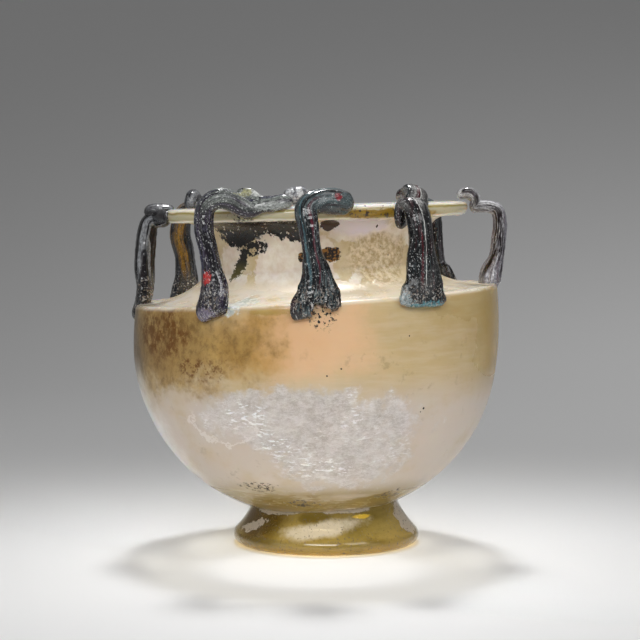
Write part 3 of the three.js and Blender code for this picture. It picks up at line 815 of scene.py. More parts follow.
def rising(tree, spot, low, high, lean=0.0):
    """0 below a height and 1 above another, in mm; from 1 to 0 where low is the greater."""
    slope = 1 / (high - low)
    along = add(tree, "ShaderNodeMapping", {
        "Vector": spot, "Location": (-low * slope, 0, 0), "Rotation": (0, math.pi / 2 + lean, 0),
        "Scale": [slope / MM] * 3,
    })
    ramp = add(tree, "ShaderNodeTexGradient", {"Vector": along})
    return add(tree, "ShaderNodeMapRange", {
        "Value": ramp.outputs[1],
    }, interpolation_type="SMOOTHSTEP").outputs["Result"]


def patch(tree, spot, place, reach, ragged=0.25, size=6, seed=0, turn=0, soft=0.3, skin=None):
    """1 within an oval patch on a turned skin, with a ragged edge. Its place and reach are given as degrees
    round the jar and mm up it; the skin is its axis and its profile, or just a radius for a handle."""
    azimuth, height = place
    axis_x, profile = skin or (VESSEL_AXIS_X, OUTER_SKIN)
    radius = profile if isinstance(profile, (int, float)) else skin_radius(profile, height)
    angle = math.radians(azimuth)
    across = radius * math.sin(math.radians(min(reach[0], 80)))
    depth = PATCH_DEPTH + PATCH_BEND * radius * (1 - math.cos(math.radians(reach[0])))
    local = add(tree, "ShaderNodeMapping", {
        "Vector": spot,
        "Location": ((axis_x + radius * math.cos(angle)) * MM, radius * math.sin(angle) * MM, height * MM),
        "Rotation": (math.radians(turn), 0, angle),
        "Scale": [2 * MM * extent for extent in (depth, across, reach[1])],
    }, vector_type="TEXTURE")
    inside = add(tree, "ShaderNodeTexGradient", {"Vector": local}, gradient_type="SPHERICAL").outputs[1]
    noise = add(tree, "ShaderNodeTexNoise", {
        "Vector": spot, "W": float(seed), "Scale": 1 / (size * MM), "Detail": 4.0, "Roughness": 0.65,
    }, noise_dimensions="4D")
    frayed = add(tree, "ShaderNodeMath", {0: noise, 1: -2 * ragged, 2: inside}, operation="MULTIPLY_ADD")
    return add(tree, "ShaderNodeMapRange", {
        "Value": frayed, "From Min": 0.5 - ragged - soft / 4, "From Max": 0.5 - ragged + soft / 4,
    }, interpolation_type="SMOOTHSTEP").outputs["Result"]


# Small dark pits in the vessel's skin: each its place in (degrees, mm) and its size in mm.
PITS = [
    ((273.2, 50.3), 0.22), ((277.3, 52.1), 0.25), ((305.3, 41.1), 0.35), ((304.4, 40.2), 0.2),
    ((270.9, 63.9), 0.35), ((268.2, 65.4), 0.25), ((299.9, 87.5), 0.5), ((308.5, 79.9), 0.25),
    ((303.5, 82.2), 0.2), ((298.2, 60.0), 0.2), ((64.0, 44.0), 0.4), ((118.0, 52.0), 0.35),
]


def weathered_glass():
    """Blown amber glass that lay in the ground: its skin has gone milky and flaky, so it looks like thin
    wax over honey, with brown stains, a frosted crackled patch and a dark crust under the rim."""
    material, tree, shader = new_finish(
        "blown amber glass, weathered", ior=1.5, subsurface_weight=0.6,
        subsurface_scale=2.5 * MM, subsurface_radius=(1.0, 0.75, 0.45), coat_weight=0.25, coat_roughness=0.15,
    )
    spot = add(tree, "ShaderNodeTexCoord").outputs["Object"]
    now = belly_skin(tree, spot)
    now = frosted(tree, spot, now)
    now = neck_crust(tree, spot, now)
    now, clear = rim_glass(tree, spot, now)
    for i, (place, size) in enumerate(PITS):
        pit = patch(tree, spot, place, (size * 1.15, size), 0.5, 0.8, 20 + i, soft=0.2)
        now = lay(tree, now, pit, "#120d08", roughness=0.6)
    tree.links.new(clear, shader.inputs["Transmission Weight"])
    fine = add(tree, "ShaderNodeTexNoise", {"Vector": spot, "Scale": 1 / (1.5 * MM), "Detail": 3.0})
    relief = add(tree, "ShaderNodeMath", {0: fine, 1: 0.02, 2: now["height"]}, operation="MULTIPLY_ADD")
    dress(tree, shader, now, relief)
    let_lamps_through(tree, shader, "#fefdfa", "#55524c")
    return material


def belly_skin(tree, spot):
    """The milky tan skin of the bowl, amber and stained brown on the left, olive at the right, with a painted
    glow along its lower left edge.
    """
    upright = add(tree, "ShaderNodeMapping", {"Vector": spot, "Scale": (1.0, 1.0, 0.85)})
    level = add(tree, "ShaderNodeMapping", {
        "Vector": spot, "Rotation": (0, math.radians(3), 0), "Scale": (0.15, 0.15, 1.0),
    })
    now = {
        "colour": blended(tree, mottle(tree, spot, 30, 0.5, 0.5, 1, 3.0), "#c4ac7c", "#d2be92"),
        "cover": 0.9, "roughness": 0.3, "height": 0.0,
    }
    striae = mottle(tree, level, 1.6, 0.52, 0.3, 58, 4.0)
    now = lay(tree, now, both(tree, striae, strength=0.3), "#e0d4b8")
    olive = either(
        tree,
        patch(tree, spot, (350, 56), (22, 19), 0.2, 9, 54, soft=0.9),
        patch(tree, spot, (120, 45), (22, 16), 0.3, 9, 55, soft=0.8),
    )
    now = lay(tree, now, olive, "#b8994c", cover=0.86, roughness=0.2)
    golden = patch(tree, spot, (255, 59), (16, 9), 0.5, 8, 59, soft=0.9)
    now = lay(tree, now, golden, "#c79f58")
    peach = patch(tree, spot, (271, 60), (17, 9), 0.5, 9, 56, soft=1.1)
    now = lay(tree, now, both(tree, peach, strength=0.8), "#e8c49c")
    pale_low = both(tree, rising(tree, spot, 52, 40), mottle(tree, spot, 16, 0.38, 0.3, 17))
    now = lay(tree, now, pale_low, "#d3c7b8", cover=0.96, roughness=0.42)
    low_amber = both(tree, rising(tree, spot, 22, 15), mottle(tree, level, 5, 0.4, 0.25, 72))
    now = lay(tree, now, low_amber, "#957f46", cover=0.88, roughness=0.22)
    now = lay(tree, now, both(tree, low_amber, veins(tree, level, 3, 0.015, 73), strength=0.5), "#c9bb94")
    amber = either(
        tree,
        patch(tree, spot, (216, 58), (38, 13), 0.45, 7, 2, soft=0.6),
        patch(tree, spot, (60, 58), (60, 9), 0.3, 9, 51, soft=0.8),
    )
    honey = blended(tree, mottle(tree, upright, 6, 0.5, 0.5, 18), "#96702a", "#c6a45e")
    now = lay(tree, now, both(tree, amber, strength=0.85), honey, cover=0.9, roughness=0.28)
    brown = either(
        tree,
        both(tree, mottle(tree, upright, 2.2, 0.49, 0.16, 3, 7.0, 0.75),
             patch(tree, spot, (215, 60), (14, 7), 0.5, 5, 52, soft=0.8)),
        both(tree, mottle(tree, spot, 1.3, 0.54, 0.12, 98, 6.0, 0.7),
             patch(tree, spot, (233, 51), (10, 3), 0.5, 4, 99, soft=0.8)),
    )
    now = lay(tree, now, brown, "#74480c", cover=0.96, roughness=0.5)
    specked = both(tree, mottle(tree, upright, 2.0, 0.54, 0.2, 53, 7.0, 0.75), amber, strength=0.5)
    now = lay(tree, now, specked, "#6b4c1c", roughness=0.45)
    dusky = both(tree, mottle(tree, spot, 3.4, 0.62, 0.12, 4, 6.0, 0.7), mottle(tree, spot, 20, 0.5, 0.2, 5),
                 strength=0.3)
    now = lay(tree, now, dusky, "#7d6848")
    edge_dark = both(tree, patch(tree, spot, (186, 54), (16, 12), 0.3, 6, 74, soft=0.9), strength=0.8)
    now = lay(tree, now, edge_dark, "#5c4420")
    # Painted light: a white glow along the lower left silhouette, as light from the floor through the glass
    # would make it.
    painted_edge_glow = patch(tree, spot, (181, 30), (26, 19), 0.2, 6, 79, soft=0.8)
    now = lay(tree, now, painted_edge_glow, "#fbf9f6", cover=1.0, roughness=0.3)
    for i, place in enumerate(((263, 14.4), (311, 16.5), (243, 19.5))):
        crumbs = both(tree, patch(tree, spot, place, (9, 1.4), 0.5, 2.5, 75 + i, soft=0.5),
                      mottle(tree, spot, 0.9, 0.53, 0.05, 78))
        now = lay(tree, now, crumbs, "#2c1c10", roughness=0.6)
    return now


def frosted(tree, spot, below):
    """The frosted patches, where the skin has crackled into silvery flakes, with white glints painted on
    them.
    """
    frost = either(
        tree,
        patch(tree, spot, (266, 38.5), (36, 8), 0.5, 6, 6, turn=-1, soft=0.4),
        patch(tree, spot, (279, 29), (24, 10), 0.5, 5, 7, soft=0.5),
        patch(tree, spot, (66, 36), (26, 9), 0.45, 6, 8, soft=0.4),
    )
    flakes = add(tree, "ShaderNodeMapping", {
        "Vector": spot, "Rotation": (0, math.radians(18), 0), "Scale": (0.7, 0.7, 1.4),
    })
    strokes = add(tree, "ShaderNodeMapping", {
        "Vector": spot, "Rotation": (0, math.radians(-14), 0), "Scale": (0.4, 0.4, 1.3),
    })
    cloud = mottle(tree, spot, 6, 0.5, 0.4, 19, 5.0, 0.65)
    now = lay(tree, below, both(tree, frost, strength=0.9), blended(tree, cloud, "#aea59c", "#d2ccc7"),
              cover=0.98, roughness=0.38)
    lobe = patch(tree, spot, (239, 38), (12, 6.5), 0.35, 4, 24, soft=0.5)
    now = lay(tree, now, both(tree, lobe, strength=0.4), "#d2cbc4")
    edge = both(tree, add(tree, "ShaderNodeMath", {0: lobe, 1: 0.4, 2: 0.16}, operation="COMPARE").outputs[0],
                rising(tree, spot, 41, 38), strength=0.4)
    now = lay(tree, now, edge, "#fbf8f4")
    grit = mottle(tree, flakes, 1.3, 0.5, 0.24, 80, 7.0, 0.8)
    now = lay(tree, now, both(tree, frost, grit, strength=0.6), "#ebe7e4", height=0.03)
    crinkle = veins(tree, flakes, 2.6, 0.012, 81, 6.0, 0.75)
    now = lay(tree, now, both(tree, frost, crinkle, strength=0.6), "#faf8f6", roughness=0.22, height=0.05)
    # Where the painted glints go: clusters of white highlight on the crackled flakes.
    painted_glint_places = either(
        tree,
        patch(tree, spot, (248, 40), (9, 3.6), 0.5, 4, 57, turn=8, soft=0.6),
        patch(tree, spot, (256, 32.5), (8, 3.2), 0.5, 4, 25, turn=-20, soft=0.6),
        patch(tree, spot, (270, 26), (12, 3), 0.5, 4, 26, soft=0.8),
        both(tree, frost, mottle(tree, spot, 12, 0.56, 0.1, 27), strength=0.8),
    )
    # Painted highlights: fine white glints drawn out in strokes.
    painted_glints = both(tree, painted_glint_places, mottle(tree, strokes, 0.8, 0.57, 0.05, 9, 3.0))
    return lay(tree, now, painted_glints, "#ffffff", roughness=0.1, height=0.08)


def neck_crust(tree, spot, below):
    """The shoulder's cream crust, the white flakes up the neck and the dark crust under the rim."""
    crack = patch(tree, spot, (290, 69.7), (9, 0.22), 0.4, 1.5, 71, soft=0.4)
    now = lay(tree, below, crack, "#4a3418", roughness=0.5)
    bare = either(
        tree,
        patch(tree, spot, (256, 66.6), (6, 1.1), 0.4, 2, 29, soft=0.7),
        both(tree, patch(tree, spot, (326, 67), (26, 4), 0.4, 5, 33, soft=1.2), strength=0.5),
    )
    now = lay(tree, now, both(tree, bare, strength=0.7), "#b49a52", roughness=0.2)
    top = both(tree, rising(tree, spot, 67.2, 68.6, SHOULDER_LEAN), rising(tree, spot, 80, 74))
    crust = both(tree, top, mottle(tree, spot, 7, 0.4, 0.25, 30))
    now = lay(tree, now, crust, "#e9e0d1", cover=0.96, roughness=0.25)
    # Painted shade: darkens the crust at the front right foot of the neck, where lamp light through the glass
    # is too bright.
    thick = patch(tree, spot, (282, 72), (16, 3.5), 0.2, 5, 22, soft=1.0)
    now = lay(tree, now, both(tree, thick, strength=0.7), "#b7a88c")
    lobe = patch(tree, spot, (244, 68.8), (5, 4), 0.5, 2.5, 34, soft=0.4)
    now = lay(tree, now, lobe, blended(tree, mottle(tree, spot, 1.2, 0.5, 0.2, 35), "#b9c0ba", "#eef0ec"),
              cover=1.0, roughness=0.3)
    neck = both(tree, rising(tree, spot, 70, 74), rising(tree, spot, 90.5, 89.5))
    now = lay(tree, now, neck, blended(tree, mottle(tree, spot, 6, 0.5, 0.4, 12), "#c9b68c", "#dfd3b4"),
              cover=0.95, roughness=0.35)
    flaky = both(tree, neck, either(
        tree,
        patch(tree, spot, (258, 78), (22, 9), 0.4, 5, 82, soft=0.12),
        patch(tree, spot, (222, 77), (9, 6), 0.4, 4, 83, soft=0.15),
        patch(tree, spot, (292, 86.5), (15, 3.4), 0.4, 4, 84, soft=0.15),
        mottle(tree, spot, 10, 0.54, 0.05, 85),
    ))
    now = lay(tree, now, flaky, blended(tree, mottle(tree, spot, 2.5, 0.5, 0.4, 31), "#f1ebe2", "#ded2c1"),
              cover=0.98, roughness=0.45, height=0.08)
    olive = both(tree, neck, patch(tree, spot, (303, 79), (16, 7.5), 0.35, 6, 70, soft=0.4))
    olive_tan = blended(tree, mottle(tree, spot, 1.3, 0.5, 0.3, 69, 6.0, 0.7), "#b19c70", "#ecdfc4")
    now = lay(tree, now, olive, olive_tan, cover=0.9, roughness=0.3)
    lilac = both(tree, neck, patch(tree, spot, (290, 87.6), (17, 2.2), 0.4, 4, 28, soft=0.9))
    now = lay(tree, now, lilac, "#e6e0e8", cover=1.0, roughness=0.18)
    under_rim = both(tree, neck, either(
        tree,
        patch(tree, spot, (237, 87.6), (29, 2.8), 0.5, 1.8, 60, soft=0.1),
        patch(tree, spot, (227, 85), (11, 2.8), 0.6, 1.8, 61, soft=0.1),
        patch(tree, spot, (259, 86.8), (9, 3.2), 0.6, 1.8, 62, soft=0.1),
        patch(tree, spot, (48, 86), (22, 4), 0.45, 4, 64, soft=0.1),
        patch(tree, spot, (118, 85), (12, 5), 0.45, 4, 65, soft=0.1),
    ))
    rusty = mottle(tree, spot, 1.8, 0.6, 0.2, 32, 6.0, 0.7)
    now = lay(tree, now, under_rim, blended(tree, rusty, "#0c0603", "#4c2e12"), cover=1.0, roughness=0.25)
    island = patch(tree, spot, (245, 83.8), (5.5, 1.7), 0.4, 2.2, 86, soft=0.1)
    now = lay(tree, now, island, "#e9e0d2", roughness=0.45)
    crumbs = both(tree, under_rim, mottle(tree, spot, 0.9, 0.63, 0.03, 21, 4.0))
    now = lay(tree, now, crumbs, "#cfc4b4", roughness=0.5)
    shards = both(tree, mottle(tree, spot, 1.3, 0.47, 0.04, 87, 5.0, 0.65), either(
        tree,
        patch(tree, spot, (235, 83), (10, 3.2), 0.4, 2.5, 66, soft=0.15),
        patch(tree, spot, (52, 81), (10, 3.6), 0.5, 2.2, 68, soft=0.1),
    ))
    now = lay(tree, now, shards, "#0c0906", cover=1.0, roughness=0.35, height=0.12)
    branch = patch(tree, spot, (229, 77.3), (9.7, 1.5), 0.8, 1.1, 67, turn=52, soft=0.15)
    now = lay(tree, now, branch, blended(tree, rising(tree, spot, 75, 79), "#5b5426", "#14110a"), cover=1.0,
              roughness=0.35)
    rust = either(
        tree,
        patch(tree, spot, (277, 80.2), (5.5, 1.9), 0.45, 2, 63, soft=0.12),
        patch(tree, spot, (263, 79.4), (2, 1.2), 0.45, 2, 88, soft=0.12),
    )
    now = lay(tree, now, rust, blended(tree, mottle(tree, spot, 0.7, 0.54, 0.1, 89), "#150d07", "#9a6a28"),
              cover=1.0, roughness=0.4)
    bits = both(tree, mottle(tree, spot, 0.8, 0.55, 0.03, 36, 4.0), patch(
        tree, spot, (271.5, 65.4), (4, 3.6), 0.5, 1.5, 37, soft=0.4))
    now = lay(tree, now, bits, "#0e0a07", cover=1.0, roughness=0.35)
    chip = both(tree, neck, patch(tree, spot, (276, 88), (4.5, 1.5), 0.35, 2, 91, soft=0.1))
    return lay(tree, now, chip, "#35140f", cover=1.0, roughness=0.25)


# The rim's colours from the lower edge of its roll up to its top; the near white up to 0.1 and from 0.72 up
# are painted highlights.
RIM_BANDS_AND_HIGHLIGHTS = [
    (0.0, "#fbf6e6"), (0.10, "#fdfaf0"), (0.2, "#c6bf9a"), (0.5, "#d6d1b6"), (0.62, "#a39440"),
    (0.72, "#f4eedc"), (0.8, "#ffffff"), (1.0, "#fffdf6"),
]


def rim_glass(tree, spot, below):
    """The rolled rim's clear olive glass, banded by the roll, with painted white highlights along its top and
    lower edge.
    """
    reach = RIM_THICKNESS + 2
    up_roll = add(tree, "ShaderNodeMapping", {
        "Vector": spot, "Location": ((1 - RIM_HEIGHT) / reach, 0, 0),
        "Rotation": (0, math.pi / 2 + RIM_LEAN, 0), "Scale": [1 / (reach * MM)] * 3,
    })
    share = add(tree, "ShaderNodeTexGradient", {"Vector": up_roll}).outputs[1]
    rolled = add(tree, "ShaderNodeMapping", {"Vector": spot, "Scale": (0.3, 0.3, 1.0)})
    wander = mottle(tree, rolled, 3, 0.5, 0.6, 92, 3.0)
    level = add(tree, "ShaderNodeMath", {0: wander, 1: 0.08, 2: share}, operation="MULTIPLY_ADD").outputs[0]
    bands = add(tree, "ShaderNodeValToRGB", {
        "Fac": add(tree, "ShaderNodeMapRange", {"Value": level, "From Min": 0.21, "From Max": 0.94}),
    })
    ramp = bands.color_ramp
    for place, code in RIM_BANDS_AND_HIGHLIGHTS[1:-1]:
        ramp.elements.new(place).color = colour(code)
    ramp.elements[0].color = colour(RIM_BANDS_AND_HIGHLIGHTS[0][1])
    ramp.elements[-1].color = colour(RIM_BANDS_AND_HIGHLIGHTS[-1][1])
    rim = add(tree, "ShaderNodeMapRange", {
        "Value": level, "From Min": 0.195, "From Max": 0.255,
    }).outputs["Result"]
    now = lay(tree, below, rim, bands.outputs[0], cover=1.0, roughness=0.08)
    gold = both(tree, rim, patch(tree, spot, (297, 90.8), (22, 1.3), 0.3, 4, 93, soft=0.4))
    now = lay(tree, now, gold, "#9c8030", roughness=0.1)
    rust = both(tree, rim, mottle(tree, spot, 0.9, 0.58, 0.04, 94), patch(
        tree, spot, (295, 91), (17, 2), 0.4, 3, 95, soft=0.4))
    now = lay(tree, now, rust, "#261404", roughness=0.3)
    flaked = both(tree, mottle(tree, spot, 0.9, 0.5, 0.04, 90, 4.0), patch(
        tree, spot, (243, 90.6), (4, 2.4), 0.5, 2, 40, soft=0.4))
    now = lay(tree, now, flaked, "#17110b", roughness=0.4)
    soot = both(tree, rim, mottle(tree, spot, 0.7, 0.66, 0.03, 96, 3.0), mottle(tree, spot, 7, 0.52, 0.1, 97))
    now = lay(tree, now, soot, "#17110b", roughness=0.4)
    return now, both(tree, rim, strength=0.25)


def dress(tree, shader, now, relief):
    """Fill a shader's inputs from its films and from their relief in mm."""
    for key, film in (("Base Color", "colour"), ("Roughness", "roughness"), ("Alpha", "cover")):
        if isinstance(now[film], bpy.types.NodeSocket):
            tree.links.new(now[film], shader.inputs[key])
        else:
            shader.inputs[key].default_value = now[film]
    metres = add(tree, "ShaderNodeMath", {0: relief, 1: MM}, operation="MULTIPLY")
    bump = add(tree, "ShaderNodeBump", {"Height": metres, "Strength": 1.0, "Distance": 1.0})
    tree.links.new(bump.outputs[0], shader.inputs["Normal"])


def let_lamps_through(tree, shader, through, edge):
    """Thin glass lets lamps through, less where they graze it, so that its shadow is a soft dark ring."""
    facing = add(tree, "ShaderNodeLayerWeight", {"Blend": 0.15}).outputs["Facing"]
    tint = blended(tree, facing, through, edge)
    clear = add(tree, "ShaderNodeBsdfTransparent", {"Color": tint})
    lamp_ray = add(tree, "ShaderNodeLightPath").outputs["Is Shadow Ray"]
    mix = add(tree, "ShaderNodeMixShader", {0: lamp_ray, 1: shader, 2: clear})
    output = next(node for node in tree.nodes if node.type == "OUTPUT_MATERIAL")
    tree.links.new(mix.outputs[0], output.inputs["Surface"])


def olive_glass():
    """The foot's glass is thick, clear and glossy, so it looks like dark honey with gold light in it, under
    torn patches of cream skin."""
    material, tree, shader = new_finish(
        "pressed olive glass, glossy", ior=1.5, transmission_weight=0.3, coat_weight=0.5, coat_roughness=0.06,
    )
    spot = add(tree, "ShaderNodeTexCoord").outputs["Object"]
    level = add(tree, "ShaderNodeMapping", {"Vector": spot, "Scale": (0.5, 0.5, 1.2)})
    now = {
        "colour": blended(tree, mottle(tree, level, 9, 0.5, 0.35, 44), "#7c6a22", "#b29a50"),
        "cover": 1.0, "roughness": 0.1, "height": 0.0,
    }
    dark_left = patch(tree, spot, (215, 8), (24, 5), 0.3, 6, 47, soft=0.8, skin=FOOT_SKIN)
    now = lay(tree, now, dark_left, "#5c4604")
    deep = patch(tree, spot, (262, 9.8), (13, 1.4), 0.4, 5, 23, soft=0.5, skin=FOOT_SKIN)
    now = lay(tree, now, both(tree, deep, strength=0.6), "#6c5a0a")
    gold_low = both(tree, rising(tree, spot, 3.2, 1.2), mottle(tree, level, 8, 0.44, 0.3, 48))
    now = lay(tree, now, gold_low, "#bd9a48")
    cream = patch(tree, spot, (268, 7), (25, 1.9), 0.4, 5, 41, turn=9, soft=0.8, skin=FOOT_SKIN)
    now = lay(tree, now, both(tree, cream, strength=0.9), "#f6ead0", roughness=0.2)
    torn = either(
        tree,
        patch(tree, spot, (226, 11.6), (30, 1.8), 0.4, 3, 43, soft=0.15, skin=FOOT_SKIN),
        patch(tree, spot, (211, 6.4), (13, 1.3), 0.7, 2, 49, turn=16, soft=0.15, skin=FOOT_SKIN),
        patch(tree, spot, (343, 7.6), (12, 4.6), 0.35, 4, 42, soft=0.12, skin=FOOT_SKIN),
        patch(tree, spot, (285, 11.8), (22, 1.0), 0.4, 3, 50, soft=0.3, skin=FOOT_SKIN),
        patch(tree, spot, (120, 8), (40, 3), 0.4, 4, 46, soft=0.3, skin=FOOT_SKIN),
    )
    now = lay(tree, now, torn, "#b9afa0", roughness=0.35, height=0.06)
    crumbs = both(tree, mottle(tree, spot, 0.6, 0.6, 0.04, 45, 3.0), mottle(tree, spot, 9, 0.46, 0.2, 39))
    now = lay(tree, now, crumbs, "#3c2b12", roughness=0.4, height=0.02)
    # A painted highlight: the bright gold glint of light in the foot's glass at the front right.
    painted_gold_glint = patch(tree, spot, (298, 9.8), (7, 0.55), 0.4, 2, 38, soft=0.4, skin=FOOT_SKIN)
    now = lay(tree, now, painted_gold_glint, "#f4cc40")
    fine = add(tree, "ShaderNodeTexNoise", {"Vector": spot, "Scale": 1 / (3 * MM), "Detail": 3.0})
    relief = add(tree, "ShaderNodeMath", {0: fine, 1: 0.08, 2: now["height"]}, operation="MULTIPLY_ADD")
    dress(tree, shader, now, relief)
    let_lamps_through(tree, shader, "#f6ecd2", "#8a7c5c")
    return material


# How each handle's dark glass looks: its ground, its pale threads, its wine red bands, its top, partly pale
# glass and partly a painted highlight from the lamps above, the level over which its white specks show, and
# its lengthwise stripes, each with its middle and half width in mm.
LOOKS = {
    "handle_front": (
        "#0b1115", "#76898c", "#34131e", "#5e6e70", 0.64, [(0.7, 0.3, "#561828"), (-1.6, 0.35, "#48646c")]),
    "handle_front_right": (
        "#08090b", "#46565a", "#3f141c", "#8a8886", 0.63, [(-0.4, 0.13, "#dcdcd8"), (-1.5, 0.5, "#521820")]),
    "handle_right": (
        "#8a8890", "#e2e1e6", "#6a5a62", "#ececee", 0.7, [(-2.5, 0.6, "#1a0c10")]),
    "handle_back_right": (
        "#0e1113", "#3c4a50", "#2a1a22", "#50666c", 0.68, []),
    "handle_back": (
        "#74767c", "#c4c8cc", "#5a4c56", "#eceef0", 0.68, []),
    "handle_back_left": (
        "#12151b", "#465060", "#2a2024", "#9a9ca0", 0.68, [(1.9, 1.3, "#96702a")]),
    # The left handle's grey stripe is a painted reflection streak down its black glass.
    "handle_left": (
        "#08080a", "#43464c", "#1c1218", "#c8cace", 0.7, [(2.9, 0.3, "#8a8c90")]),
    "handle_front_left": (
        "#120f16", "#5c5a6c", "#2c1a34", "#8f9690", 0.62, [(-1.6, 0.4, "#3a3858")]),
}

# The handles' single marks: each a handle, a place and a reach in (degrees, mm), how far out it is, its turn,
# its colour and how ragged it is.
MARKS = [
    ("handle_front_left", (237.7, 74.6), (1.5, 1.8), 50, -14, "#c4201a", 0.6),
    ("handle_front_left", (236.6, 65.2), (4.4, 1.5), 50, 18, "#857c90", 0.7),
    # A painted highlight along the top of the front left handle's curl.
    ("handle_front_left", (248, 97), (4, 1.5), 43, -20, "#d8dbd6", 0.5),
    ("handle_front_left", (245.6, 96.2), (1.9, 0.9), 43, 0, "#b3b184", 0.5),
    ("handle_front_left", (255, 92.8), (8, 1.2), 42, 0, "#a4a8a4", 0.8),
    ("handle_front", (276.8, 95.1), (1.3, 1.1), 45, 20, "#8c1424", 0.6),
    ("handle_front_right", (303.6, 66.4), (10, 2.3), 50, 0, "#4f939e", 0.6),
    ("handle_front_right", (294.6, 68.6), (3, 4.4), 50, 12, "#a3b0b2", 0.5),
]


def dark_glass(name, seed):
    """Manganese glass that was trailed on hot: nearly black, glossy, marbled lengthwise with pale and wine
    red threads and dusted with fine white specks, so it looks like polished dark agate."""
    ground, pale, wine, top, speck_level, stripes = LOOKS[name]
    material, tree, shader = new_finish(
        "trailed dark glass, " + name.replace("_", " "), ior=1.52, coat_weight=0.35, coat_roughness=0.08,
    )
    grain = add(tree, "ShaderNodeAttribute", attribute_name="grain").outputs["Vector"]
    spot = add(tree, "ShaderNodeTexCoord").outputs["Object"]
    drawn = add(tree, "ShaderNodeMapping", {"Vector": grain, "Scale": (1.0, 1.0, 0.08)})
    now = {"colour": colour(ground), "cover": 1.0, "roughness": 0.18, "height": 0.0}
    bands = both(tree, mottle(tree, drawn, 1.5, 0.56, 0.1, seed + 20, 3.0), strength=0.8)
    now = lay(tree, now, bands, wine)
    across = add(tree, "ShaderNodeSeparateXYZ", {"Vector": grain}).outputs["X"]
    for i, (middle, half_width, paint) in enumerate(stripes):
        calm = add(tree, "ShaderNodeMapping", {"Vector": grain, "Scale": (0.3, 0.3, 0.3)})
        wobble = add(tree, "ShaderNodeTexNoise", {
            "Vector": calm, "W": float(seed + i), "Scale": 1 / (2 * MM), "Detail": 2.0,
        }, noise_dimensions="4D")
        shifted = add(tree, "ShaderNodeMath", {0: wobble, 1: 1.4 * MM, 2: across}, operation="MULTIPLY_ADD")
        distance = add(tree, "ShaderNodeMath", {0: shifted, 1: (middle + 0.7) * MM}, operation="SUBTRACT")
        stripe = add(tree, "ShaderNodeMapRange", {
            "Value": add(tree, "ShaderNodeMath", {0: distance}, operation="ABSOLUTE"),
            "From Min": 1.15 * half_width * MM, "From Max": 0.7 * half_width * MM,
        }).outputs["Result"]
        broken = mottle(tree, drawn, 1.2, 0.42, 0.1, seed + 30 + i, 3.0)
        now = lay(tree, now, both(tree, stripe, broken, rising(tree, spot, 70, 76)), paint)
    threads = veins(tree, drawn, 1.5, 0.03, seed, 3.0, 0.65)
    now = lay(tree, now, both(tree, threads, mottle(tree, spot, 6, 0.45, 0.3, seed + 10), strength=0.7), pale,
              roughness=0.25, height=0.02)
    # The arch tops: pale glass and a painted highlight from the lamps above.
    arch = both(tree, rising(tree, spot, 90, 95), mottle(tree, drawn, 1.6, 0.5, 0.15, seed + 50, 3.0))
    now = lay(tree, now, both(tree, arch, strength=0.8), top, roughness=0.2)
    for i, (owner, place, reach, radius, turn, paint, ragged) in enumerate(MARKS):
        if owner == name:
            mark = patch(tree, spot, place, reach, ragged, 0.8, 100 + i, turn, 0.3, (VESSEL_AXIS_X, radius))
            now = lay(tree, now, both(tree, mark, strength=0.9), paint)
    dust = add(tree, "ShaderNodeMapping", {"Vector": grain, "Scale": (1.0, 1.0, 0.6)})
    sooty = mottle(tree, dust, 0.4, 0.52, 0.14, seed + 35, 3.0)
    now = lay(tree, now, both(tree, sooty, strength=0.5), "#07070a")
    specks = both(
        tree, mottle(tree, dust, 0.3, speck_level, 0.07, seed + 40, 2.0),
        mottle(tree, spot, 4, 0.38, 0.3, seed + 60), strength=0.85,
    )
    now = lay(tree, now, specks, "#c4c6c4", roughness=0.4, height=0.03)
    pad = rising(tree, spot, 75, 71)
    blotches = both(tree, pad, mottle(tree, spot, 0.6, 0.57, 0.06, seed + 70, 4.0), strength=0.8)
    earthy = blended(tree, mottle(tree, spot, 1.8, 0.5, 0.2, seed + 75), "#c2beb8", "#6c5a48")
    now = lay(tree, now, blotches, earthy, roughness=0.4, height=0.04)
    fine = mottle(tree, drawn, 1.1, 0.5, 0.7, seed + 80, 2.0)
    relief = add(tree, "ShaderNodeMath", {0: fine, 1: 0.04, 2: now["height"]}, operation="MULTIPLY_ADD")
    dress(tree, shader, now, relief)
    return material


sag = sag_tree()
turned = turned_tree(sag)
trailed = trail_tree(sag)

vessel = made_by(
    turned, "jar_vessel", profile_object("vessel profile", vessel_profile()), segments=TURN_SEGMENTS,
    unevenness=0.5 * MM, wave_size=30 * MM, seed=3.0, axis_x=VESSEL_AXIS_X * MM, sags=True,
    finish=weathered_glass(),
)
foot = made_by(
    turned, "jar_foot", profile_object("foot profile", foot_profile()), segments=TURN_SEGMENTS,
    unevenness=0.8 * MM, wave_size=12 * MM, seed=8.0, axis_x=FOOT_AXIS_X * MM, sags=False,
    finish=olive_glass(),
)
room = made_by(
    turned, "vessel room", profile_object("room profile", vessel_room_profile()), segments=TURN_SEGMENTS,
    unevenness=0.5 * MM, wave_size=30 * MM, seed=3.0, axis_x=0.0, sags=False, finish=None,
)


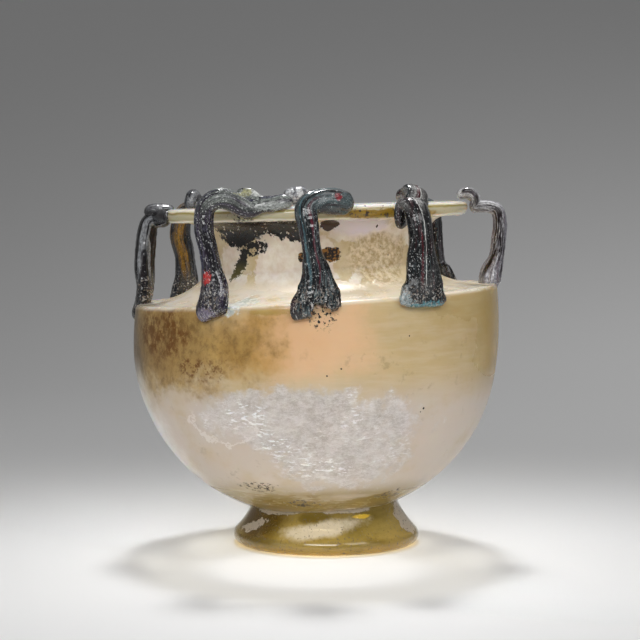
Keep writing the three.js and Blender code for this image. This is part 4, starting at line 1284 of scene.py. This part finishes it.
def chip_object():
    """The chipped arch as an upright oval plug that is cut out of the front handle's pad."""
    rim = []
    azimuth = math.radians(HANDLES["handle_front"][0] + CHIP_TURN)
    outward = Vector((math.cos(azimuth), math.sin(azimuth), 0))
    across = Vector((-outward.y, outward.x, 0))
    middle = outward * SHOULDER_RADIUS + Vector((0, 0, SHOULDER_HEIGHT - CHIP_DROP))
    sides = 48
    for depth in (-CHIP_DEPTH / 2, CHIP_DEPTH / 2):
        for i in range(sides):
            angle = i / sides * 2 * math.pi
            wobble = 1 + sum(size * math.sin(count * angle + start) for count, size, start in CHIP_WAVES)
            step = across * (CHIP_WIDTH / 2 * math.cos(angle) * wobble)
            step += Vector((0, 0, CHIP_HEIGHT / 2 * math.sin(angle) * wobble))
            rim.append((middle + outward * depth + step) * MM)
    faces = [(i, (i + 1) % sides, sides + (i + 1) % sides, sides + i) for i in range(sides)]
    faces += [tuple(reversed(range(sides))), tuple(range(sides, 2 * sides))]
    mesh = bpy.data.meshes.new("pad chip")
    mesh.from_pydata(rim, [], faces)
    made = bpy.data.objects.new("pad chip", mesh)
    bpy.context.scene.collection.objects.link(made)
    return made


chip = chip_object()
handles = {}
for seed, (name, (azimuth, trails)) in enumerate(HANDLES.items()):
    lines = [trail_line(azimuth, places) for places in trails]
    values = dict(
        sides=TRAIL_SIDES, rib_depth=0.5, rib_size=1.6 * MM, seed=float(seed), voxel=TRAIL_VOXEL * MM,
        room=room, axis_x=VESSEL_AXIS_X * MM, finish=dark_glass(name, seed),
    )
    if name == "handle_front":
        values["chip"] = chip
    handles[name] = made_by(trailed, "jar_" + name, line_object(name + " trails", lines), **values)
for helper in (room, chip):
    bpy.data.objects.remove(helper)

for piece, node, slot in [
    (vessel, "vessel", "weathered_glass"),
    (foot, "foot", "amber_glass"),
    *((handle, name, "dark_glass") for name, handle in handles.items()),
]:
    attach(piece, "root")
    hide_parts(node)
    print(piece.name, len(piece.data.polygons), "faces")


# The studio: a pale floor that curves up behind, soft lamps and the camera.


def studio_floor():
    """A pale floor that runs back and curves up into a backdrop."""
    half_width = 3.0
    front = -2.0
    back = 0.45
    sweep = 1.7
    height = 2.5
    steps = 48
    line = [(front, 0.0), (back, 0.0)]
    for i in range(1, steps + 1):
        angle = i / steps * math.pi / 2
        line.append((back + sweep * math.sin(angle), sweep * (1 - math.cos(angle))))
    line.append((back + sweep, height))
    corners = []
    for y, z in line:
        corners += [(-half_width, y, z), (half_width, y, z)]
    faces = [(2 * i, 2 * i + 1, 2 * i + 3, 2 * i + 2) for i in range(len(line) - 1)]
    mesh = bpy.data.meshes.new("studio_floor")
    mesh.from_pydata(corners, [], faces)
    mesh.shade_smooth()
    floor = bpy.data.objects.new("studio_floor", mesh)
    bpy.context.scene.collection.objects.link(floor)
    material, _, shader = new_finish("pale studio paper, matt", roughness=0.9)
    shader.inputs["Base Color"].default_value = colour("#e8e8e8")
    mesh.materials.append(material)
    return floor


def softbox(name, place, aim, width, height, power, spread=180):
    """A flat lamp in metres that faces a place, with its light spread over an angle in degrees."""
    lamp = bpy.data.lights.new(name, "AREA")
    lamp.shape = "RECTANGLE"
    lamp.size = width
    lamp.size_y = height
    lamp.energy = power
    lamp.spread = math.radians(spread)
    made = bpy.data.objects.new(name, lamp)
    made.location = place
    made.rotation_euler = (Vector(aim) - Vector(place)).to_track_quat("-Z", "Y").to_euler()
    made.visible_camera = False
    bpy.context.scene.collection.objects.link(made)
    return made


studio_floor()
softbox("key lamp", (0, 0.48, 1.0), (0, -0.03, 0), 0.16, 0.16, 0.104, 17)
softbox("front softbox", (-0.05, -0.54, 0.36), (0, -0.02, 0.06), 0.4, 0.2, 0.375, 80)
softbox("front right softbox", (0.35, -0.38, 0.42), (0, -0.02, 0.05), 0.3, 0.25, 0.13, 80)
softbox("left strip", (-0.5, -0.35, 0.15), (0, 0, 0.06), 0.3, 0.22, 0.16)
softbox("right strip", (0.5, -0.35, 0.15), (0, 0, 0.06), 0.3, 0.22, 0.12)
softbox("backdrop softbox", (0.4, 0.5, 0.8), (0.4, 0.5, 0), 0.6, 0.4, 0.84, 120)

world = bpy.data.worlds.new("studio air")
world.use_nodes = True
world.node_tree.nodes["Background"].inputs["Color"].default_value = (1, 1, 1, 1)
world.node_tree.nodes["Background"].inputs["Strength"].default_value = 0.175
bpy.context.scene.world = world

camera_data = bpy.data.cameras.new("camera")
camera_data.lens = 112.5
camera_data.sensor_width = 36
camera = bpy.data.objects.new("camera", camera_data)
camera.location = (0.00052, -0.5487, 0.0958)
camera.rotation_euler = (math.radians(90 - 3.6), 0, 0)
bpy.context.scene.collection.objects.link(camera)
bpy.context.scene.camera = camera
bpy.context.scene.view_settings.view_transform = "Standard"
